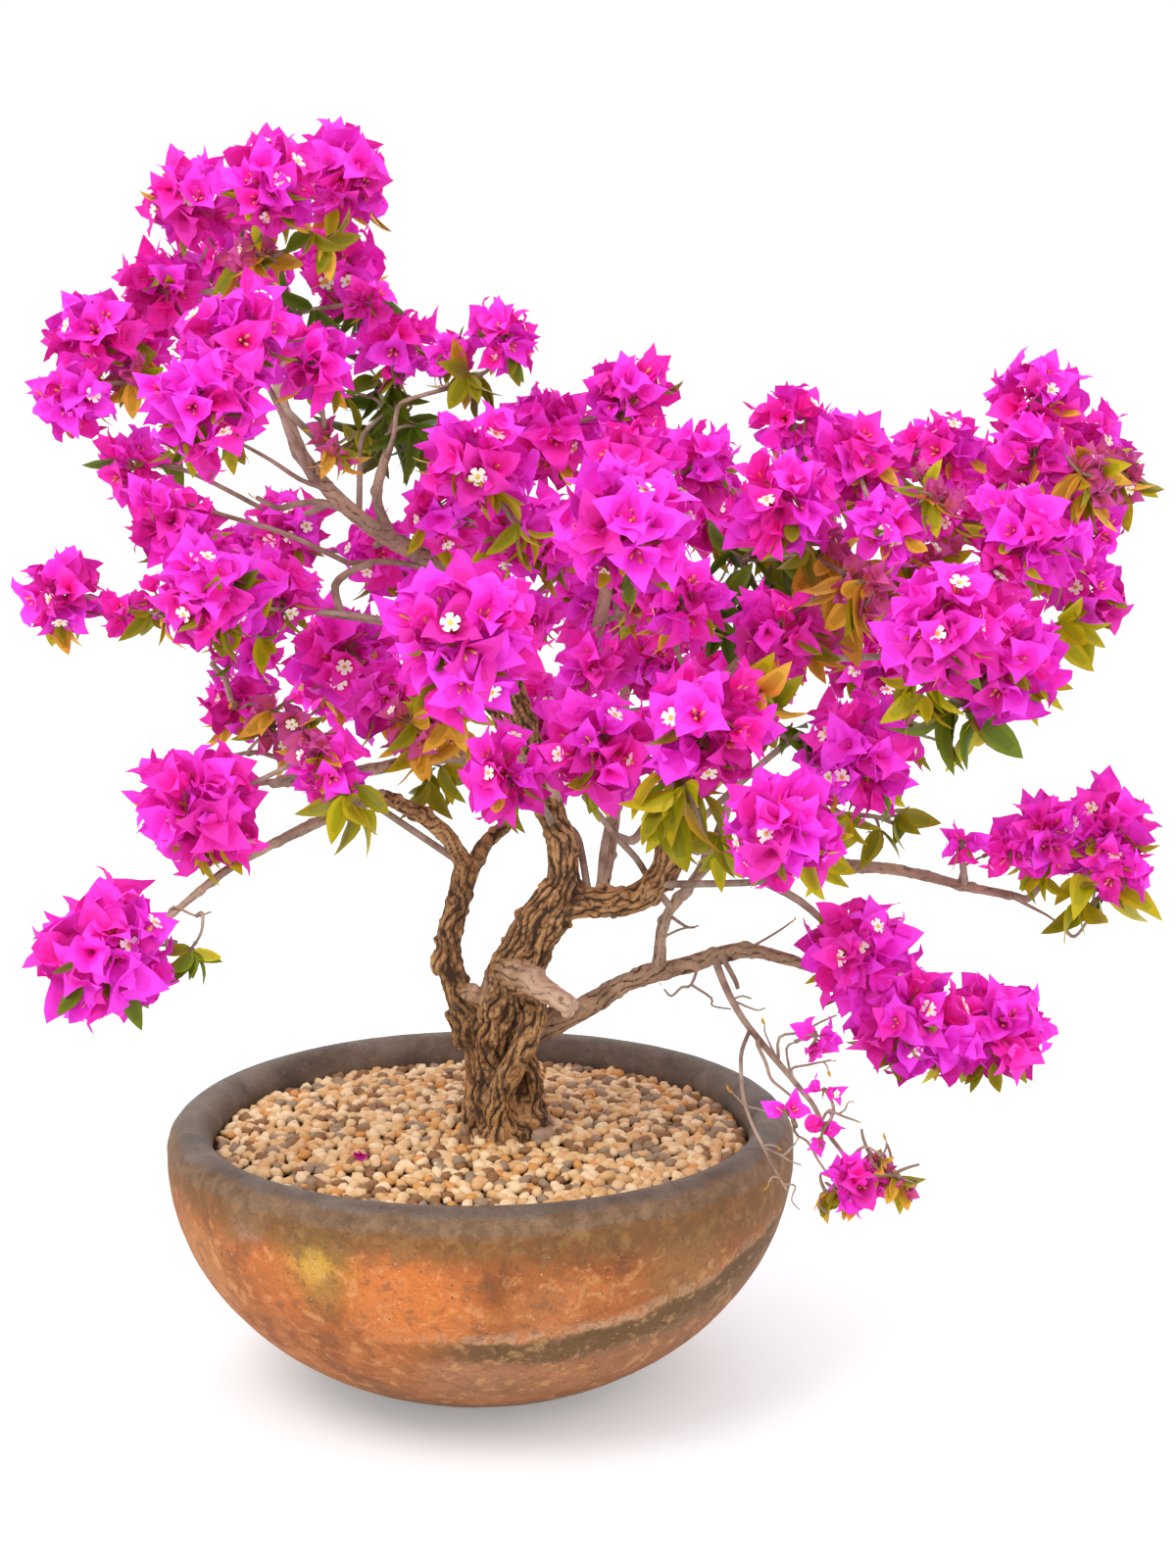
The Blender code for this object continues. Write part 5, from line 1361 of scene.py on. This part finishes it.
class Crown:
    # everything that the masses grow, gathered kind by kind
    def __init__(self):
        self.twigs, self.sprays, self.stalks = [], [], []
        self.bracts, self.buds, self.stars, self.eyes, self.leaves = (Places() for _ in range(5))

    def branch(self, path, centre, radius, count, rng):
        # finer twigs fan out from the twig's end into the cluster
        grown = []
        for direction in sphereDirections(count, rng):
            start, heading = pointAlong(path, rng.uniform(0.6, 1.0))
            end = centre + direction * radius * rng.uniform(0.3, 0.55)
            heading = (heading + 0.6 * (end - start).normalized()).normalized()
            grown.append(bentTwig(start, heading, end, rng, 2))
            self.sprays.append((grown[-1], evenly(*crown["sprayRadii"], grown[-1])))
        return grown

    def stalk(self, grown, end, rng):
        # a thin stalk from the nearest finer twig; the twig's foot carries none
        foot = min((p for path in grown for p in path[3:]), key=lambda p: (p - end).length)
        middle = foot.lerp(end, 0.5) + randomVector(rng) * 0.08 * (end - foot).length
        radius = crown["stalkRadius"]
        self.stalks.append(([foot, middle, end], [radius * 1.2, radius, radius]))

    def bloom(self, throat, axis, size, tone, rng):
        turn = turnedTo(axis, rng.uniform(0, 6.28))
        self.bracts.add(throat, turn, size, rng.randrange(crown["bloomShapes"]), tone)
        if rng.random() < crown["openFlowers"]:
            at = throat + axis * size * rng.uniform(0.02, 0.10)
            kind = rng.randrange(2)
            self.stars.add(at, turn, size, kind)
            self.eyes.add(at, turn, size, kind)
            self.buds.add(throat, turn, size, 1, rng.randrange(2))
        elif rng.random() < crown["buds"]:
            self.buds.add(throat, turn, size, 0, rng.randrange(2))

    def leaf(self, foot, along, up, length, tone, rng):
        # +Z along the leaf, +X towards up; dark leaves are the narrow ones
        side = up.cross(along)
        if side.length < 0.05:
            side = along.orthogonal()
        side.normalize()
        turn = Matrix((side.cross(along), side, along)).transposed()
        kinds = crown["leafShapes"]
        shape = rng.randrange(kinds) + kinds * (tone == toneOf["dark"])
        self.leaves.add(foot, turn, length, shape, tone)

    def blossomCluster(self, path, centre, radius, leafTone, rng):
        centre = centre + Vector(crown["shift"])
        grown = self.branch(path, centre, radius, 1 + round(crown["spraysPerRadius"] * radius), rng)
        count = 1 + round(crown["bloomsPerArea"] * radius * radius)
        inner = round(crown["innerBlooms"] * min(1, (radius / 0.045) ** 2))
        shells = [(1.0, d) for d in sphereDirections(count, rng)]
        shells += [(crown["innerDepth"], d) for d in sphereDirections(inner, rng)]
        least, growth = crown["bractLength"]
        for depth, direction in shells:
            direction = (direction + crown["stray"] * randomVector(rng)).normalized()
            size = rng.uniform(0.78, 1.0) * min(least + growth * radius, crown["longestBract"])
            axis = direction + Vector((0, 0, crown["lean"])) + crown["tilt"] * randomVector(rng)
            axis = axis.normalized()
            lobe = 1 + crown["lobes"] * 2 * noise.noise(direction * 1.6 + centre * 40)
            reach = crown["reach"] * lobe * radius - crown["throatDepth"] * size
            reach = reach * rng.uniform(0.80, 1.08) * depth
            throat = centre + direction * max(reach, 0.003)
            self.stalk(grown, throat, rng)
            # painted light and shade: besides a random tone, blooms inside the cluster and those facing
            # down lean to the deep tone, those facing up to the bright one
            shade = rng.random() + (0.45 if depth < 1 else 0) - 0.25 * direction.z
            self.bloom(throat, axis, size, bractTone(shade), rng)
        for _ in range(round(count * crown["leavesPerBloom"])):
            direction = (randomVector(rng) + Vector((0, 0, -0.7))).normalized()
            foot = centre + direction * radius * rng.uniform(0.25, 0.68)
            along = (direction + 0.6 * randomVector(rng) + Vector((0, 0, -0.3))).normalized()
            length = rng.uniform(*crown["smallLeaf"]) * min(1, radius / 0.034)
            if direction.z < 0.25:
                self.stalk(grown, foot, rng)
                up = 0.6 * randomVector(rng) + Vector((0, 0, 1))
                self.leaf(foot, along, up, length, leafTone(rng), rng)

    def leafCluster(self, path, centre, radius, main, rng):
        # whorls at the ends of the finer twigs, hanging outwards
        sprays = 1 + round(crown["leafSprays"] * crown["spraysPerRadius"] * radius)
        grown = self.branch(path, centre, radius, sprays, rng)
        leafTone = mixedLeaves(main)
        least, growth = crown["leafLength"]
        for twig in grown:
            heading = (twig[-1] - twig[-2]).normalized()
            count = rng.randint(*crown["whorl"])
            start = rng.uniform(0, 6.28)
            for k in range(count):
                at = pointAlong(twig, rng.uniform(0.7, 1.0))[0]
                ring = turnedTo(heading, start + 6.28 * k / count) @ Vector((1, 0, 0))
                along = 0.75 * ring + 0.35 * heading + 0.35 * randomVector(rng) + Vector((0, 0, -0.65))
                along = along.normalized()
                length = rng.uniform(0.68, 1.0) * min(least + growth * radius, crown["longestLeaf"])
                facing = 0.6 * outward(centre) + 1.1 * randomVector(rng) + Vector((0, 0, 0.4))
                self.leaf(at, along, facing, length, leafTone(rng), rng)
            if main == "dry":
                # spent blooms and bare tips
                self.branch(twig, twig[-1], 0.045, 2, rng)
                for _ in range(3 if radius > 0.014 else 1):
                    axis = (outward(centre) + randomVector(rng)).normalized()
                    size = rng.uniform(0.018, 0.028) * min(1, radius / 0.018)
                    throat = twig[-1] + 0.008 * randomVector(rng)
                    self.stalk([twig], throat, rng)
                    self.bloom(throat, axis, size, 4, rng)


def bractTone(shade):
    # 0 bright, 1 pink, 2 violet, 3 deep, 4 faded; bright and deep are partly lit and shaded copies, a
    # painted light and shade
    return min(range(4), key=lambda k: abs(shade - (0.15, 0.45, 0.7, 1.1)[k]))


def mixedLeaves(main):
    def pick(rng):
        return toneOf[main] if rng.random() < crown["mainTone"] else rng.choice(otherTones[main])
    return pick


bare = bareTwigLines()
crownPieces = Crown()
for name in masses:
    rng = random.Random(f"{seed} {name} crown")
    green = next((c[4] for c in masses[name][3] if c[4] != "dark"), "olive")
    for path, (base, tip), (centre, radius, leafy) in massTwigs(name, bare):
        crownPieces.twigs.append((path, evenly(base, tip, path)))
        if leafy:
            crownPieces.leafCluster(path, centre, radius, leafy, rng)
        else:
            crownPieces.blossomCluster(path, centre, radius, mixedLeaves(green), rng)

# one fallen bloom lies on the gravel
crownPieces.bracts.add((-0.095, -0.075, 0.2095), Matrix.Rotation(1.9, 3, "X"), 0.011, 3, 3)

print("blooms")
rng = random.Random(seed)
# colours of a bract's heart, middle and edge: the dark heart is painted shade deep in the bloom, the
# pale edge partly a painted highlight and partly the bract's own violet
bractColours = {
    # the bright tone is partly painted light and the deep tone partly painted shade
    "brightBracts": [(0.90, 0.022, 0.50), (0.93, 0.036, 0.60), (0.94, 0.052, 0.71)],
    "pinkBracts": [(0.84, 0.014, 0.33), (0.89, 0.024, 0.43), (0.92, 0.038, 0.54)],
    "violetBracts": [(0.78, 0.020, 0.50), (0.84, 0.034, 0.62), (0.87, 0.054, 0.74)],
    "deepBracts": [(0.55, 0.010, 0.20), (0.65, 0.017, 0.30), (0.73, 0.028, 0.41)],
    "fadedBracts": [(0.55, 0.110, 0.120), (0.60, 0.085, 0.210), (0.58, 0.075, 0.300)],
}
bractParts = ["Heart", "Middle", "Edge"]


def thinPaint(name, colour, roughness, shine, glow):
    # light comes through a bract or a leaf, so each glows a little in its own colour
    through = (*(0.9 * c for c in colour), 1)
    return Paint(name, colour, roughness, Specular_IOR_Level=shine, Emission_Color=through,
                 Emission_Strength=glow)


def bractPaint(name, colour):
    paint = thinPaint(name, colour, 0.62, 0.2, 0.08)
    paint.relief(paint.noise(0.004, 2, 0.5, 0.5), 0.0006, 0.35)
    return paint


bloomShapes = [bloomShape(rng) for _ in range(crown["bloomShapes"])]
for tone, (name, colours) in enumerate(bractColours.items()):
    # the bracts are parted by tone, so that each piece stays small
    part = Places()
    part.rows = [row[:4] + (0,) for row in crownPieces.bracts.rows if row[4] == tone]
    paints = [bractPaint(name + where, colour) for where, colour in zip(bractParts, colours)]
    settle(growCopies(name, part, bloomShapes, paints, 3), "blossom", *(masses if tone == 0 else ()))

# the true flowers: slim tubes, and on the open ones a white star with a yellow eye
coral = Paint("coralTubes", (0.80, 0.20, 0.16), 0.55)
amber = Paint("paleTubes", (0.86, 0.42, 0.20), 0.55)
# the white stars glow a little: painted light
white = Paint("whiteStars", (0.93, 0.90, 0.80), 0.5, Emission_Color=(1, 0.97, 0.88, 1),
              Emission_Strength=0.12)
yellow = Paint("yellowEyes", (0.85, 0.62, 0.08), 0.5)
for name, part, shapes, paints in (
        ("flowerTubes", crownPieces.buds, [budShape(rng, 3), budShape(rng, 2)], [coral, amber]),
        ("whiteStars", crownPieces.stars, [starShape(lift) for lift in crown["starLifts"]], [white]),
        ("flowerEyes", crownPieces.eyes, [eyeShape(lift) for lift in crown["starLifts"]], [yellow])):
    settle(growCopies(name, part, shapes, paints), "blossom")

print("leaves")
# colours along the rib and at the margin
leafColours = {
    "greenLeaves": [(0.095, 0.135, 0.003), (0.135, 0.175, 0.004)],
    "oliveLeaves": [(0.20, 0.195, 0.004), (0.28, 0.245, 0.005)],
    "limeLeaves": [(0.35, 0.31, 0.004), (0.48, 0.38, 0.006)],
    "darkLeaves": [(0.060, 0.105, 0.004), (0.092, 0.140, 0.006)],
    "dryLeaves": [(0.52, 0.27, 0.020), (0.70, 0.37, 0.040)],
}


def leafPaint(name, colour):
    paint = thinPaint(name, colour, 0.45, 0.22, 0.06)
    paint.relief(paint.noise(0.005, 2), 0.0006, 0.4)
    return paint


for path, _ in bare:
    # a dry bud or scale at the tip of most bare twigs
    if rng.random() < crown["dryTips"]:
        along = ((path[-1] - path[-2]).normalized() + 0.4 * randomVector(rng)).normalized()
        length = rng.uniform(0.005, 0.011)
        crownPieces.leaf(path[-1], along, Vector((0, 0, 1)), length, toneOf["dry"], rng)
leafPaints = [leafPaint(name + where, colour) for name, colours in leafColours.items()
              for where, colour in zip(("Rib", "Margin"), colours)]
leafShapes = [leafShape(rng, breadth) for breadth in crown["leafBreadths"]
              for _ in range(crown["leafShapes"])]
settle(growCopies("leaves", crownPieces.leaves, leafShapes, leafPaints, 2), "blossom")


def twigPaint(name, dark, pale):
    paint = Paint(name, pale, 0.8)
    paint.set(Base_Color=paint.ramp(paint.noise(0.02, 3), (0.35, dark), (0.65, pale)))
    paint.relief(paint.noise(0.002, 3), 0.0004, 0.7)
    return paint


print("twigs")
for name, lines, sides, paint in (
        ("twigs", crownPieces.twigs, 8, twigPaint("twigBark", (0.19, 0.12, 0.08), (0.44, 0.32, 0.24))),
        ("bareTwigs", bare, 6, twigPaint("bareTwigBark", (0.24, 0.15, 0.10), (0.50, 0.36, 0.27))),
        ("sprays", crownPieces.sprays, 5, Paint("sprayBark", (0.25, 0.16, 0.10), 0.75)),
        ("stalks", crownPieces.stalks, 4, Paint("stalkSkin", (0.36, 0.15, 0.08), 0.65))):
    settle(growTubes(name, lines, sides, paint), "bark")


# Floor, light and camera

studio = {
    "camera": (0.0885, -2.0863, 0.872), "pitch": 10.2, "lens": 60, "sensor": 36,
    "floor": (0.86, 0.91, 0.95), "floorGlow": 0.235, "floorHalf": 30, "world": 1.0,
    "lit": (0.08, 0, 0.5),  # where the lights look
    "lights": [  # name, place, size, watts
        ("key", (-1.3, -1.6, 2.7), 1.6, 35), ("fill", (1.9, -1.6, 1.6), 2.0, 8),
        ("back", (0.2, 2.2, 2.2), 2.0, 8)],
}


def buildStudio():
    half = studio["floorHalf"]
    corners = [(-half, -half, 0), (half, -half, 0), (half, half, 0), (-half, half, 0)]
    paint = Paint("floor", studio["floor"], 0.9, Emission_Color=(1, 1, 1, 1),
                  Emission_Strength=studio["floorGlow"])
    floor = meshObject("floor", corners, [(0, 1, 2, 3)], [paint])
    scene = bpy.context.scene
    world = bpy.data.worlds.new("studio")
    world.use_nodes = True
    background = world.node_tree.nodes["Background"].inputs
    background["Color"].default_value = (1, 1, 1, 1)
    background["Strength"].default_value = studio["world"]
    scene.world = world
    for name, place, size, watts in studio["lights"]:
        lamp = bpy.data.lights.new(name, "AREA")
        lamp.shape, lamp.size, lamp.energy = "DISK", size, watts
        light = bpy.data.objects.new(name, lamp)
        light.location = place
        heading = Vector(studio["lit"]) - Vector(place)
        light.rotation_euler = heading.to_track_quat("-Z", "Y").to_euler()
        scene.collection.objects.link(light)
    lens = bpy.data.cameras.new("camera")
    lens.lens, lens.sensor_width = studio["lens"], studio["sensor"]
    camera = bpy.data.objects.new("camera", lens)
    camera.location = studio["camera"]
    camera.rotation_euler = (math.radians(90 - studio["pitch"]), 0, 0)
    scene.collection.objects.link(camera)
    scene.camera = camera
    scene.view_settings.view_transform = "Standard"


print("studio")
buildStudio()
